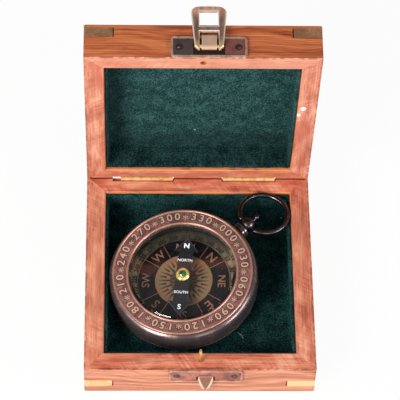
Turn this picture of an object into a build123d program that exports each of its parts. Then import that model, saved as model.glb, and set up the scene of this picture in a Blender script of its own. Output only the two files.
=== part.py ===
from build123d import *
from math import asin, cos, degrees, radians, sin, sqrt, tan
import os

# A small hinged hardwood box with a pocket compass lying in its velvet-lined well.
# Millimetres, +Z up. The origin is the middle of the base's underside and the front faces -Y.
# The lid is drawn closed and then turned open about its hinge; the compass is drawn about its
# own axis and then laid in the well, tilted, with its bow on the edge of the lining.

# Box
base_height = 19.1
wall = 8.7
base_board = 4.6
lid_board = 3.2
board_rebate = 3.0
rim_gap = 0.2
corner_radius = 0.8
edge_radius = 0.6
rim_edge_radius = 0.3
mouth_chamfer = 0.5

# Velvet-covered linings
lining = 1.3
base_lining_drop = 1.5
lid_lining_drop = 2.0

# Brass straps let in round the corners
strap_width = 4.8
strap_length = 12.3
strap_thickness = 0.8
strap_slot_gap = 0.6
base_strap_height = 4.8
lid_strap_drop = 1.6

# Butt hinges on the back
open_angle = 85.2
hinge_inset = 1.2
hinge_spacing = 47.0
hinge_length = 24.0
leaf_width = 7.0
leaf_thickness = 0.7
leaf_setback = 1.3
leaf_nail_inset = 4.5
knuckle_radius = 1.15
knuckle_count = 5
knuckle_gap = 0.1
hinge_pin_radius = 0.5
hinge_pin_clearance = 0.05
notch_gap = 0.45
notch_overcut = 3.3
stop_gap = 0.1

# Nails
nail_head_radius = 0.8
nail_crown_radius = 0.45
nail_head_height = 0.35
nail_shank_radius = 0.35
nail_length = 3.0

# Locating pin in the front rim
rim_pin_radius = 0.95
rim_pin_height = 9.5
rim_pin_taper = 3.0
rim_pin_tip_radius = 0.5
rim_pin_depth = 4.0
rim_hole_clearance = 0.45
rim_hole_end_gap = 1.2

# Plates of the catch and the hasp
latch_offset = 2.4
catch_width = 32.6
catch_height = 9.2
hasp_plate_width = 32.5
hasp_plate_height = 10.4
plate_thickness = 0.8
plate_corner = 1.7
plate_border = 1.0
plate_recess = 0.25
plate_window_margin = 0.3
plate_window_gap = 0.7
plate_nail_inset = 3.45

# Hasp
pivot_height = 4.6
pivot_offset = 1.9
pivot_bar_radius = 0.8
pivot_clearance = 0.06
strap_bar_gap = 0.85
strap_bar_thickness = 0.7
strap_bend_radius = 1.0
curl_angle = 235
hasp_thickness = 1.8
hasp_window_width = 8.1
hasp_window_length = 8.05
hasp_window_corner = 0.6
hasp_crossbar = 2.3
hasp_crossbar_gap = 1.6
hasp_end_bar = 2.45
hasp_end_rise = 0.6
hasp_leg_width = 2.15
hasp_leg_tip = 0.7
hasp_leg_end = 1.5
hasp_shoulder_width = 3.85
hasp_corner = 3.4
hasp_edge_chamfer = 0.3

# Hook of the catch
hook_thickness = 0.75
hook_tip_width = 1.5
hook_gap = 0.1
hook_tip_gap = 1.65
hook_side_gap = 0.75
hook_stand = 0.3
hook_knee_down = 2.8
hook_knee_in = 0.6
hook_shoulder = 1.25
hook_tie = 0.7
hook_window_gap = 0.8
hook_window_height = 3.0
hook_slit_height = 0.6

# Compass case; its depths are measured from the top plane of the bezel
case_radius = 33.6
case_shoulder = 3.4
case_rim_height = 0.2
case_lip = 0.35
case_lip_height = 0.9
case_floor = 0.8
back_thickness = 1.3
back_edge_radius = 1.0
bezel_shoulder = 2.0
bezel_width = 7.3
bezel_thickness = 1.2
bezel_border = 0.8
bezel_recess = 0.25
bezel_edge_chamfer = 0.3
bezel_overhang = 0.9
glass_seat = 0.6
glass_flange = 1.0
glass_bevel = 1.2
glass_rise = 0.85
seat_clearance = 0.05

# Dial and needle
dial_thickness = 0.5
dial_gap = 4.0
degree_ring_width = 4.35
degree_ring_thickness = 0.4
pivot_radius = 0.45
pivot_tip_radius = 0.1
pivot_boss_radius = 1.6
pivot_boss_height = 0.6
needle_play = 0.1
needle_end_gap = 1.3
needle_thickness = 0.5
needle_bar_width = 6.4
needle_head_width = 11.0
needle_head_length = 6.8
needle_heading = 41.7
needle_cap_radius = 3.75
needle_cap_thickness = 0.5
hub_radius = 3.1
hub_height = 2.1
hub_chamfer = 0.6
cup_radius = 1.0
cup_depth = 0.6
jewel_radius = 1.65
jewel_table_radius = 1.0
jewel_height = 0.85
jewel_seat = 0.4
jewel_gap = 0.25

# Pendant and bow
pendant_depth = 7.0
collar_length = 3.05
collar_radius = 3.8
collar_neck_radius = 2.6
collar_disc = 0.8
collar_gap = 0.5
collar_flare = 0.6
ball_radius = 3.2
ball_seat_radius = 1.25
knob_radius = 1.25
knob_neck_radius = 0.7
knob_neck_length = 1.3
bow_ring_radius = 10.9
bow_wire_radius = 1.15
bow_side_gap = 0.25
bow_end_gap = 0.5
bow_stub_radius = 0.6
bow_stub_clearance = 0.05

# How the compass lies in the well, and the room that the box leaves round it
compass_tilt = 7.0
neck_turn = 41.25
seat_gap = 0.3
bow_gap = 0.3
side_room = 0.35
front_room = 5.9
lid_room = 5.2

# Compass sizes that follow
bezel_radius = case_radius - bezel_shoulder
bezel_bore = bezel_radius - bezel_width
case_bore = bezel_bore + bezel_overhang
glass_radius = case_bore + glass_seat
degree_ring_bore = case_bore - seat_clearance - degree_ring_width
needle_tip = degree_ring_bore - needle_end_gap
hub_stack = hub_height + jewel_height - jewel_seat
hub_level = bezel_thickness + glass_flange + jewel_gap + hub_stack
needle_level = hub_level + needle_cap_thickness + needle_thickness
dial_depth = needle_level + dial_gap
case_depth = dial_depth + dial_thickness + case_floor + back_thickness
shoulder_depth = bezel_thickness + case_rim_height + case_shoulder
back_flat_radius = case_radius - case_lip - back_edge_radius
ball_reach = sqrt(ball_radius**2 - ball_seat_radius**2)
pivot_reach = case_radius + collar_length + ball_reach
bow_mouth = 2 * (ball_radius + bow_wire_radius + bow_side_gap)
bow_offset = sqrt(bow_ring_radius**2 - (bow_mouth / 2) ** 2)

# The compass leans on the far edge of its back, its neck towards the back right corner, until
# the bow lies on the top edge of the lining with its outside just clear of both walls.
floor_top = base_board + lining
tilt = radians(compass_tilt)
turn = radians(neck_turn)
up = Vector(0, 0, 1)
ahead = Vector(cos(turn), sin(turn), 0)
beside = Vector(-sin(turn), cos(turn), 0)
neck_direction = ahead * cos(tilt) + up * sin(tilt)
face_direction = up * cos(tilt) - ahead * sin(tilt)
centre_height = (
    floor_top
    + seat_gap
    + back_flat_radius * sin(tilt)
    + (case_depth - back_edge_radius) * cos(tilt)
    + back_edge_radius
)
compass_top = centre_height + bezel_radius * sin(tilt)
pivot_from_centre = neck_direction * pivot_reach - face_direction * pendant_depth
wire_height = base_height - base_lining_drop + seat_gap + bow_wire_radius
bow_slope = asin(
    (wire_height - centre_height - pivot_from_centre.Z)
    / (bow_offset + bow_ring_radius * cos(turn))
)
bow_direction = ahead * cos(bow_slope) + up * sin(bow_slope)
bow_face = up * cos(bow_slope) - ahead * sin(bow_slope)


def case_extent(part_face):
    """How far the case reaches from its middle, away from its neck, along an axis of the box."""
    return case_radius * sqrt(1 - part_face**2) + part_face * shoulder_depth


def bow_extent(part_pivot, part_bow, part_beside):
    """How far the bow reaches from the compass's middle along an axis of the box."""
    ring = bow_ring_radius * sqrt(part_bow**2 + part_beside**2)
    return part_pivot + part_bow * bow_offset + ring + bow_wire_radius


# The well takes the compass from the side of its case to the outside of its bow.
bow_right = bow_extent(pivot_from_centre.X, bow_direction.X, beside.X)
bow_back = bow_extent(pivot_from_centre.Y, bow_direction.Y, beside.Y)
well_width = lining + side_room + case_extent(face_direction.X) + bow_right + bow_gap
well_depth = lining + front_room + case_extent(face_direction.Y) + bow_back + bow_gap
box_width = well_width + 2 * wall
box_depth = well_depth + 2 * wall
half_width = box_width / 2
half_depth = box_depth / 2
lid_rim = base_height + rim_gap
lid_top = compass_top + lid_room + lining + lid_board
compass_centre = Vector(
    well_width / 2 - bow_gap - bow_right,
    well_depth / 2 - bow_gap - bow_back,
    centre_height,
)
compass_place = Plane(compass_centre, x_dir=neck_direction, z_dir=face_direction).location
bow_pivot = compass_centre + pivot_from_centre
bow_place = Plane(bow_pivot, x_dir=bow_direction, z_dir=bow_face).location

# The lid turns about the hinge axis, from closed to open.
hinge_y = half_depth - hinge_inset
hinge_z = base_height + rim_gap / 2
lid_place = (
    Location((0, hinge_y, hinge_z))
    * Rotation(-open_angle, 0, 0)
    * Location((0, -hinge_y, -hinge_z))
)
hinge_middles = {"left": -hinge_spacing / 2, "right": hinge_spacing / 2}

# Hasp and catch sizes that follow
catch_middle = base_height - catch_height / 2
hasp_plate_middle = lid_rim + hasp_plate_height / 2
plate_face = plate_thickness - plate_recess
hasp_legs_top = hasp_plate_height - pivot_height + hasp_crossbar_gap
hasp_window_near = hasp_legs_top + hasp_crossbar
hasp_window_far = hasp_window_near + hasp_window_length
hasp_length = hasp_window_far + hasp_end_bar
hasp_pivot_width = hasp_window_width + 2 * hasp_leg_width
hasp_end_width = hasp_window_width + 2 * hasp_shoulder_width
strap_bar_width = hasp_window_width - 2 * strap_bar_gap
hook_root_height = lid_rim + pivot_height - hasp_window_near - hook_gap
hook_drop = hasp_window_length - hook_gap - hook_tip_gap
hook_width = hasp_window_width - 2 * hook_side_gap
hook_reach = pivot_offset + hasp_thickness / 2 + hook_stand


def save(piece, label, place=Location()):
    piece.part.label = label
    export_step(piece.part.moved(place), f"parts/{label}.step")


def slab(low, high, width, depth):
    """A flat board centred on the box, from one height to another."""
    with BuildPart() as blank:
        with BuildSketch(Plane.XY.offset(low)):
            Rectangle(width, depth)
        extrude(amount=high - low)
    return blank


# Wooden walls


def eased_block(low, high, rim):
    """The outside of the base or of the lid, with its corners and outer edges eased."""
    with BuildPart() as block:
        with BuildSketch(Plane.XY.offset(low)):
            RectangleRounded(box_width, box_depth, corner_radius)
        extrude(amount=high - low)
        outer_face = block.faces().filter_by(Axis.Z).sort_by(Axis.Z)[0 if rim == high else -1]
        fillet(outer_face.edges(), edge_radius)
        rim_face = block.faces().filter_by(Axis.Z).sort_by(Axis.Z)[-1 if rim == high else 0]
        fillet(rim_face.edges(), rim_edge_radius)
    return block


def stop_bevel(side):
    """The wedge that the back edge loses, so that the open lid comes to rest on the base.

    side is -1 below the hinge axis, for the base, and 1 above it, for the lid.
    """
    lean = radians(open_angle / 2)
    start = (rim_gap / 2 * cos(lean) - stop_gap / 2) / sin(lean)
    reach = hinge_inset + 1
    drop = rim_gap / 2 + (reach - start) * tan(lean)
    outline = [(start, 0), (start, rim_gap / 2), (reach, drop), (reach, 0)]
    with BuildPart() as wedge:
        with BuildSketch(Plane.YZ):
            with BuildLine():
                Polyline([(hinge_y + y, hinge_z + side * z) for y, z in outline], close=True)
            make_face()
        extrude(amount=half_width + 1, both=True)
    return wedge


def hinge_notches():
    """The gap in both back edges round the knuckles; the left one was cut too long."""
    depth = knuckle_radius + notch_gap
    with BuildPart() as notches:
        for hand, middle in hinge_middles.items():
            left = middle - hinge_length / 2 - notch_gap
            left -= notch_overcut if hand == "left" else 0
            right = middle + hinge_length / 2 + notch_gap
            with BuildSketch(Plane.XY.offset(hinge_z - depth)):
                with Locations((left, hinge_y - depth)):
                    Rectangle(right - left, depth + hinge_inset + 1, align=Align.MIN)
            extrude(amount=2 * depth)
    return notches


def wall_boards(prefix, low, high, rim, cutters, place=Location()):
    """Four walls with mitred corners, each with what is let into it cut away."""
    block = eased_block(low, high, rim)
    outer = [
        (-half_width, -half_depth),
        (half_width, -half_depth),
        (half_width, half_depth),
        (-half_width, half_depth),
    ]
    inner = [(x - wall if x > 0 else x + wall, y - wall if y > 0 else y + wall) for x, y in outer]
    for number, side in enumerate(("front", "right", "back", "left")):
        following = (number + 1) % 4
        with BuildPart() as board_part:
            with BuildSketch(Plane.XY.offset(low)):
                with BuildLine():
                    Polyline(
                        outer[number],
                        outer[following],
                        inner[following],
                        inner[number],
                        close=True,
                    )
                make_face()
            extrude(amount=high - low)
            rim_face = board_part.faces().filter_by(Axis.Z).sort_by_distance((0, 0, rim))[0]
            chamfer(rim_face.edges().sort_by_distance((0, 0, rim))[0], mouth_chamfer)
            add(block.part, mode=Mode.INTERSECT)
            for cutter in cutters:
                add(cutter.part, mode=Mode.SUBTRACT)
        save(board_part, f"{prefix}_wall_{side}", place)


# Linings


def lining_walls(low, high):
    """The velvet-covered strips that stand round the inside of a well."""
    with BuildPart() as strips:
        with BuildSketch(Plane.XY.offset(low)):
            Rectangle(well_width, well_depth)
            Rectangle(well_width - 2 * lining, well_depth - 2 * lining, mode=Mode.SUBTRACT)
        extrude(amount=high - low)
    return strips


# Corner straps


def corner_straps(low, length, depth):
    """Four strips that wrap the corners, flush with the wood; depth is how deep they lie."""
    with BuildPart() as straps:
        with BuildSketch(Plane.XY.offset(low)):
            RectangleRounded(box_width, box_depth, corner_radius)
            Rectangle(box_width - 2 * depth, box_depth - 2 * depth, mode=Mode.SUBTRACT)
            with GridLocations(box_width - length, box_depth - length, 2, 2):
                Rectangle(length, length, mode=Mode.INTERSECT)
        extrude(amount=strap_width)
    return straps


# Nails


def nails_at(spots):
    """Nails with their heads on the given places; each place's Z points out of the wood."""
    with BuildPart() as nails:
        with Locations(*spots):
            Cone(
                nail_head_radius,
                nail_crown_radius,
                nail_head_height,
                align=(Align.CENTER, Align.CENTER, Align.MIN),
            )
            Cylinder(
                nail_shank_radius,
                nail_length,
                align=(Align.CENTER, Align.CENTER, Align.MAX),
            )
    return nails


# Hinges


def hinge_leaf(middle, side):
    """A hinge leaf on the back face with its share of the knuckles: side -1 base, 1 lid."""
    start = middle - hinge_length / 2
    pitch = hinge_length / knuckle_count
    plate_inner = half_depth - leaf_thickness
    near = hinge_z + side * leaf_setback
    far = hinge_z + side * (leaf_setback + leaf_width)
    with BuildPart() as leaf:
        with BuildSketch(Plane.YZ.offset(start)):
            with Locations((plate_inner, min(near, far))):
                Rectangle(leaf_thickness, leaf_width, align=Align.MIN)
        extrude(amount=hinge_length)
        for number in range(0 if side < 0 else 1, knuckle_count, 2):
            with BuildSketch(Plane.YZ.offset(start + number * pitch + knuckle_gap / 2)):
                with Locations((plate_inner, min(hinge_z, near))):
                    Rectangle(leaf_thickness, leaf_setback, align=Align.MIN)
                with Locations((hinge_y, hinge_z)):
                    Circle(knuckle_radius)
            extrude(amount=pitch - knuckle_gap)
        with BuildSketch(Plane.YZ.offset(start)):
            with Locations((hinge_y, hinge_z)):
                Circle(hinge_pin_radius + hinge_pin_clearance)
        extrude(amount=hinge_length, mode=Mode.SUBTRACT)
    return leaf


def hinge_pin(middle):
    with BuildPart() as pin:
        with BuildSketch(Plane.YZ.offset(middle - hinge_length / 2)):
            with Locations((hinge_y, hinge_z)):
                Circle(hinge_pin_radius)
        extrude(amount=hinge_length)
    return pin


def leaf_nails(side):
    """Two nails through each leaf of the base (side -1) or of the lid (side 1)."""
    height = hinge_z + side * (leaf_setback + leaf_width / 2)
    return nails_at(
        Location((middle + step, half_depth, height), (-90, 0, 0))
        for middle in hinge_middles.values()
        for step in (leaf_nail_inset - hinge_length / 2, hinge_length / 2 - leaf_nail_inset)
    )


# Locating pin


def rim_pin():
    """A brass pin that stands in the front rim, with a tapered tip."""
    shoulder = rim_pin_height - rim_pin_taper
    with BuildPart() as pin:
        with BuildSketch(Plane.XZ):
            with BuildLine():
                Polyline(
                    (0, -rim_pin_depth),
                    (rim_pin_radius, -rim_pin_depth),
                    (rim_pin_radius, shoulder),
                    (rim_pin_tip_radius, rim_pin_height),
                    (0, rim_pin_height),
                    close=True,
                )
            make_face()
        revolve(axis=Axis.Z)
    return pin


def rim_hole():
    """The hole in the lid's front rim, wide enough for the pin to enter on the lid's arc."""
    arc_room = rim_pin_height**2 / (2 * (hinge_y + half_depth - wall / 2))
    with BuildPart() as hole:
        with Locations((0, -half_depth + wall / 2 - arc_room / 2, lid_rim)):
            Cylinder(
                rim_pin_radius + rim_hole_clearance,
                rim_pin_height + rim_hole_end_gap,
                align=(Align.CENTER, Align.CENTER, Align.MIN),
            )
    return hole


# Catch and hasp


def front_plane(height, out=0.0):
    """A plane on the front face at the latch: its X runs right, its Y up, its Z outward."""
    return Plane(
        (latch_offset, -half_depth - out, height), x_dir=(1, 0, 0), z_dir=(0, -1, 0)
    )


def latch_plate(middle, width, height):
    """A stamped plate with a raised border, flat on the front face."""
    with BuildPart() as plate:
        with BuildSketch(front_plane(middle)):
            RectangleRounded(width, height, plate_corner)
        extrude(amount=plate_thickness)
        with BuildSketch(front_plane(middle, plate_face)):
            RectangleRounded(
                width - 2 * plate_border, height - 2 * plate_border, plate_corner - plate_border / 2
            )
        extrude(amount=plate_recess, mode=Mode.SUBTRACT)
    return plate


def latch_nails(middle, width):
    """A nail near each end of a plate."""
    reach = width / 2 - plate_nail_inset
    return nails_at(
        Location((latch_offset + step, -half_depth - plate_face, middle), (90, 0, 0))
        for step in (-reach, reach)
    )


def catch_hook():
    """The tongue of the catch: bent out and down from its plate, and cut to a point."""
    root = (latch_offset, -half_depth, hook_root_height)
    side_plane = Plane(root, x_dir=(0, 0, -1), z_dir=(-1, 0, 0))
    middle = plate_face - hook_thickness / 2
    crest = hook_reach - hook_thickness / 2
    with BuildPart() as hook:
        with BuildSketch(side_plane):
            with BuildLine():
                Spline(
                    (-hook_thickness, middle),
                    (hook_knee_down, crest - hook_knee_in),
                    (hook_drop, crest),
                    tangents=((1, 0.35), (1, -0.15)),
                )
            trace(line_width=hook_thickness)
        extrude(amount=hook_width / 2, both=True)
        with BuildSketch(front_plane(hook_root_height)):
            with BuildLine():
                Polyline(
                    (-hook_width / 2, hook_thickness + 1),
                    (hook_width / 2, hook_thickness + 1),
                    (hook_width / 2, -hook_shoulder),
                    (hook_tip_width / 2, -hook_drop - 1),
                    (-hook_tip_width / 2, -hook_drop - 1),
                    (-hook_width / 2, -hook_shoulder),
                    close=True,
                )
            make_face()
        extrude(amount=hook_reach + 2, mode=Mode.INTERSECT)
    return hook


def catch_plate(nails):
    """The plate on the base, its hook pressed out between a slit and a window."""
    hook = catch_hook()
    with BuildPart() as catch:
        add(latch_plate(catch_middle, catch_width, catch_height).part)
        with BuildSketch(front_plane(hook_root_height)):
            with Locations((0, -hook_window_height / 2)):
                Rectangle(hook_width + 2 * hook_window_gap, hook_window_height)
            with Locations((0, hook_thickness + hook_slit_height / 2)):
                Rectangle(hook_width - 2 * hook_tie, hook_slit_height)
        extrude(amount=plate_thickness, mode=Mode.SUBTRACT)
        add(hook.part)
        add(nails.part, mode=Mode.SUBTRACT)
    return catch


def hasp_plate(nails):
    """The plate on the lid: a strap rises from its far edge and curls round the hasp's bar."""
    side_plane = Plane((latch_offset, -half_depth, lid_rim), x_dir=(0, 0, 1), z_dir=(1, 0, 0))
    curl = pivot_bar_radius + pivot_clearance + strap_bar_thickness / 2
    ridge = pivot_offset + curl
    root = hasp_plate_height - strap_bar_thickness
    window_low = plate_border + plate_window_margin
    window_high = root - strap_bar_thickness
    window_width = hasp_pivot_width + 2 * plate_window_gap
    with BuildPart() as plate:
        add(latch_plate(hasp_plate_middle, hasp_plate_width, hasp_plate_height).part)
        with BuildSketch(front_plane(lid_rim + (window_low + window_high) / 2)):
            Rectangle(window_width, window_high - window_low)
        extrude(amount=plate_thickness, mode=Mode.SUBTRACT)
        with BuildSketch(side_plane):
            with BuildLine():
                Line((root, 0), (root, ridge - strap_bend_radius))
                JernArc((root, ridge - strap_bend_radius), (0, 1), strap_bend_radius, 90)
                Line((root - strap_bend_radius, ridge), (pivot_height, ridge))
                CenterArc((pivot_height, pivot_offset), curl, 90, curl_angle)
            trace(line_width=strap_bar_thickness)
        extrude(amount=strap_bar_width / 2, both=True)
        add(nails.part, mode=Mode.SUBTRACT)
    return plate


def hasp_loop():
    """The swinging loop, folded back against the lid, with its bar in the plate's curl."""
    pivot = lid_rim + pivot_height
    loop_plane = front_plane(pivot, pivot_offset - hasp_thickness / 2)
    corner = (hasp_end_width / 2, hasp_length - hasp_end_rise)
    leg_tip = (hasp_window_width / 2 + hasp_leg_tip, -hasp_leg_end)
    with BuildPart() as loop:
        with BuildSketch(loop_plane) as outline:
            with BuildLine():
                Polyline(
                    (-corner[0], corner[1]),
                    (-hasp_pivot_width / 2, 0),
                    (-leg_tip[0], leg_tip[1]),
                    leg_tip,
                    (hasp_pivot_width / 2, 0),
                    corner,
                )
                ThreePointArc(corner, (0, hasp_length), (-corner[0], corner[1]))
            make_face()
            fillet(outline.vertices().sort_by(Axis.Y)[-2:], hasp_corner)
        extrude(amount=hasp_thickness)
        with BuildSketch(loop_plane):
            with Locations((0, (hasp_window_near + hasp_window_far) / 2)):
                RectangleRounded(hasp_window_width, hasp_window_length, hasp_window_corner)
            with Locations((0, hasp_legs_top)):
                Rectangle(
                    hasp_window_width,
                    hasp_legs_top + hasp_leg_end + 1,
                    align=(Align.CENTER, Align.MAX),
                )
        extrude(amount=hasp_thickness, mode=Mode.SUBTRACT)
        chamfer(loop.faces().sort_by(Axis.Y)[0].outer_wire().edges(), hasp_edge_chamfer)
        bar_plane = Plane((latch_offset, -half_depth - pivot_offset, pivot), z_dir=(1, 0, 0))
        with BuildSketch(bar_plane):
            Circle(pivot_bar_radius)
        extrude(amount=hasp_window_width / 2 + hasp_leg_tip, both=True)
    return loop


# Compass case


def turned(outline):
    """A piece turned about the compass's axis from an outline of radius and height."""
    with BuildPart() as piece:
        with BuildSketch(Plane.XZ):
            with BuildLine():
                Polyline(outline, close=True)
            make_face()
        revolve(axis=Axis.Z)
    return piece


def compass_case():
    """The case: a rounded shoulder under the bezel, straight sides and a ledge for the glass."""
    floor = -dial_depth - dial_thickness
    seam = -case_depth + back_thickness
    ledge = -bezel_thickness - glass_flange
    seat_radius = glass_radius + seat_clearance
    under_bezel = -bezel_thickness - case_rim_height
    shoulder = under_bezel - case_shoulder
    with BuildPart() as case:
        with BuildSketch(Plane.XZ):
            with BuildLine():
                Polyline(
                    (0, seam),
                    (0, floor),
                    (case_bore, floor),
                    (case_bore, ledge),
                    (seat_radius, ledge),
                    (seat_radius, -bezel_thickness),
                    (bezel_radius, -bezel_thickness),
                    (bezel_radius, under_bezel),
                )
                TangentArc(
                    (case_radius, shoulder), (bezel_radius, under_bezel), tangent=(0, 1)
                )
                Polyline(
                    (case_radius, shoulder),
                    (case_radius, seam + case_lip_height),
                    (case_radius - case_lip, seam + case_lip_height - case_lip),
                    (case_radius - case_lip, seam),
                    (0, seam),
                )
            make_face()
        revolve(axis=Axis.Z)
    return case


def compass_back():
    """The back cover: a lip that shows as a fine line, and a rounded edge that it rests on."""
    seam = -case_depth + back_thickness
    lip = case_radius - case_lip / 2
    turn_in = case_radius - case_lip
    with BuildPart() as back:
        with BuildSketch(Plane.XZ):
            with BuildLine():
                Polyline(
                    (0, -case_depth),
                    (0, seam),
                    (lip, seam),
                    (lip, seam - (back_thickness - back_edge_radius)),
                    (turn_in, seam - (back_thickness - back_edge_radius)),
                )
                CenterArc((back_flat_radius, back_edge_radius - case_depth), back_edge_radius, -90, 90)
                Line((back_flat_radius, -case_depth), (0, -case_depth))
            make_face()
        revolve(axis=Axis.Z)
    return back


def compass_bezel():
    """A flat ring between two raised borders; the numbers on its band are not modelled here."""
    band = -bezel_recess
    return turned(
        [
            (bezel_bore, -bezel_thickness),
            (bezel_bore, -bezel_edge_chamfer),
            (bezel_bore + bezel_edge_chamfer, 0),
            (bezel_bore + bezel_border, 0),
            (bezel_bore + bezel_border + bezel_recess, band),
            (bezel_radius - bezel_border - bezel_recess, band),
            (bezel_radius - bezel_border, 0),
            (bezel_radius - bezel_edge_chamfer, 0),
            (bezel_radius, -bezel_edge_chamfer),
            (bezel_radius, -bezel_thickness),
        ]
    )


def compass_glass():
    """A crystal with a bevelled edge, held down by the bezel on its flange."""
    shelf = -bezel_thickness
    edge = bezel_bore - seat_clearance
    return turned(
        [
            (0, shelf - glass_flange),
            (glass_radius, shelf - glass_flange),
            (glass_radius, shelf),
            (edge, shelf),
            (edge - glass_bevel, shelf + glass_rise),
            (0, shelf + glass_rise),
        ]
    )


def dial_plate():
    floor = -dial_depth - dial_thickness
    edge = case_bore - seat_clearance
    return turned([(0, floor), (edge, floor), (edge, -dial_depth), (0, -dial_depth)])


def degree_ring():
    """The raised ring round the dial that carries the degree scale."""
    edge = case_bore - seat_clearance
    top = -dial_depth + degree_ring_thickness
    return turned(
        [
            (degree_ring_bore, -dial_depth),
            (edge, -dial_depth),
            (edge, top),
            (degree_ring_bore + degree_ring_thickness / 2, top),
        ]
    )


def pivot_pin():
    """The steel point that the needle swings on, standing on the dial."""
    tip = cup_depth - hub_level - needle_play
    boss = -dial_depth + pivot_boss_height
    return turned(
        [
            (0, -dial_depth),
            (pivot_boss_radius, -dial_depth),
            (pivot_boss_radius, boss),
            (pivot_radius, boss),
            (pivot_radius, -needle_level),
            (pivot_tip_radius, tip),
            (0, tip),
        ]
    )


# Needle


def needle_bar():
    """A flat bar with a broad arrow head at each end."""
    tip = needle_tip
    neck = tip - needle_head_length
    with BuildPart() as bar:
        with BuildSketch(Plane.XY.offset(-needle_level)):
            with BuildLine():
                Polyline(
                    (tip, 0),
                    (neck, needle_head_width / 2),
                    (neck, needle_bar_width / 2),
                    (-neck, needle_bar_width / 2),
                    (-neck, needle_head_width / 2),
                    (-tip, 0),
                    (-neck, -needle_head_width / 2),
                    (-neck, -needle_bar_width / 2),
                    (neck, -needle_bar_width / 2),
                    (neck, -needle_head_width / 2),
                    close=True,
                )
            make_face()
            Circle(cup_radius, mode=Mode.SUBTRACT)
        extrude(amount=needle_thickness)
    return bar


def needle_cap():
    """The dark washer under the hub, bored for the pivot."""
    low = -hub_level - needle_cap_thickness
    return turned(
        [
            (cup_radius, low),
            (needle_cap_radius, low),
            (needle_cap_radius - needle_cap_thickness / 2, -hub_level),
            (cup_radius, -hub_level),
        ]
    )


def needle_hub():
    """The brass hub: its cup below takes the pivot, its seat above takes the jewel."""
    low = -hub_level
    high = low + hub_height
    return turned(
        [
            (0, low + cup_depth),
            (cup_radius, low),
            (hub_radius - hub_chamfer / 2, low),
            (hub_radius, low + hub_chamfer),
            (hub_radius, high - hub_chamfer),
            (hub_radius - hub_chamfer, high),
            (jewel_radius, high),
            (jewel_radius, high - jewel_seat),
            (0, high - jewel_seat),
        ]
    )


def hub_jewel():
    """A faceted stone, eight-sided, set in the hub."""
    seat = -hub_level + hub_height - jewel_seat
    with BuildPart() as jewel:
        with BuildSketch(Plane.XY.offset(seat)):
            RegularPolygon(jewel_radius, 8)
        extrude(amount=jewel_seat)
        with BuildSketch(Plane.XY.offset(seat + jewel_seat)):
            RegularPolygon(jewel_radius, 8)
        with BuildSketch(Plane.XY.offset(seat + jewel_height)):
            RegularPolygon(jewel_table_radius, 8)
        loft(ruled=True)
    return jewel


# Pendant and bow


def pendant_piece(outline):
    """A piece turned about the pendant's axis, from distances from the compass's axis."""
    with BuildPart() as piece:
        with BuildSketch(Plane.XZ):
            with BuildLine():
                Polyline([(x, radius - pendant_depth) for x, radius in outline], close=True)
            make_face()
        revolve(axis=Axis((0, 0, -pendant_depth), (1, 0, 0)))
    return piece


def pendant_collar(case):
    """The neck with its two discs, fitted to the round side of the case."""
    ball_start = pivot_reach - ball_reach
    far_disc = ball_start - collar_gap
    near_disc = far_disc - collar_disc - collar_gap
    neck_end = near_disc - collar_disc
    seat = case_radius - case_shoulder
    with BuildPart() as collar:
        add(
            pendant_piece(
                [
                    (seat, 0),
                    (seat, collar_neck_radius + collar_flare),
                    (neck_end - collar_gap, collar_neck_radius + collar_flare),
                    (neck_end, collar_neck_radius),
                    (neck_end, collar_radius),
                    (near_disc, collar_radius),
                    (near_disc, collar_neck_radius),
                    (far_disc - collar_disc, collar_neck_radius),
                    (far_disc - collar_disc, collar_radius),
                    (far_disc, collar_radius),
                    (far_disc, collar_neck_radius),
                    (ball_start, ball_seat_radius),
                    (ball_start, 0),
                ]
            ).part
        )
        add(case.part, mode=Mode.SUBTRACT)
    return collar


def pendant_ball():
    """The turned ball, flat where it seats, bored across for the ends of the bow."""
    flat_angle = degrees(asin(ball_seat_radius / ball_radius))
    with BuildPart() as ball:
        with BuildSketch(Plane.XZ):
            with BuildLine():
                CenterArc(
                    (pivot_reach, -pendant_depth),
                    ball_radius,
                    flat_angle,
                    180 - 2 * flat_angle,
                )
                Polyline(
                    (pivot_reach - ball_reach, ball_seat_radius - pendant_depth),
                    (pivot_reach - ball_reach, -pendant_depth),
                    (pivot_reach + ball_reach, -pendant_depth),
                    (pivot_reach + ball_reach, ball_seat_radius - pendant_depth),
                )
            make_face()
        revolve(axis=Axis((0, 0, -pendant_depth), (1, 0, 0)))
        with Locations((pivot_reach, 0, -pendant_depth)):
            Cylinder(
                bow_stub_radius + bow_stub_clearance,
                2 * ball_radius,
                rotation=(90, 0, 0),
                mode=Mode.SUBTRACT,
            )
    return ball


def pendant_knob():
    """The small finial beyond the ball."""
    start = pivot_reach + ball_reach
    middle = start + knob_neck_length + knob_radius
    with BuildPart() as knob:
        with Locations((start, 0, -pendant_depth)):
            Cylinder(
                knob_neck_radius,
                knob_neck_length + knob_radius,
                rotation=(0, 90, 0),
                align=(Align.CENTER, Align.CENTER, Align.MIN),
            )
        with Locations((middle, 0, -pendant_depth)):
            Sphere(knob_radius)
    return knob


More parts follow.
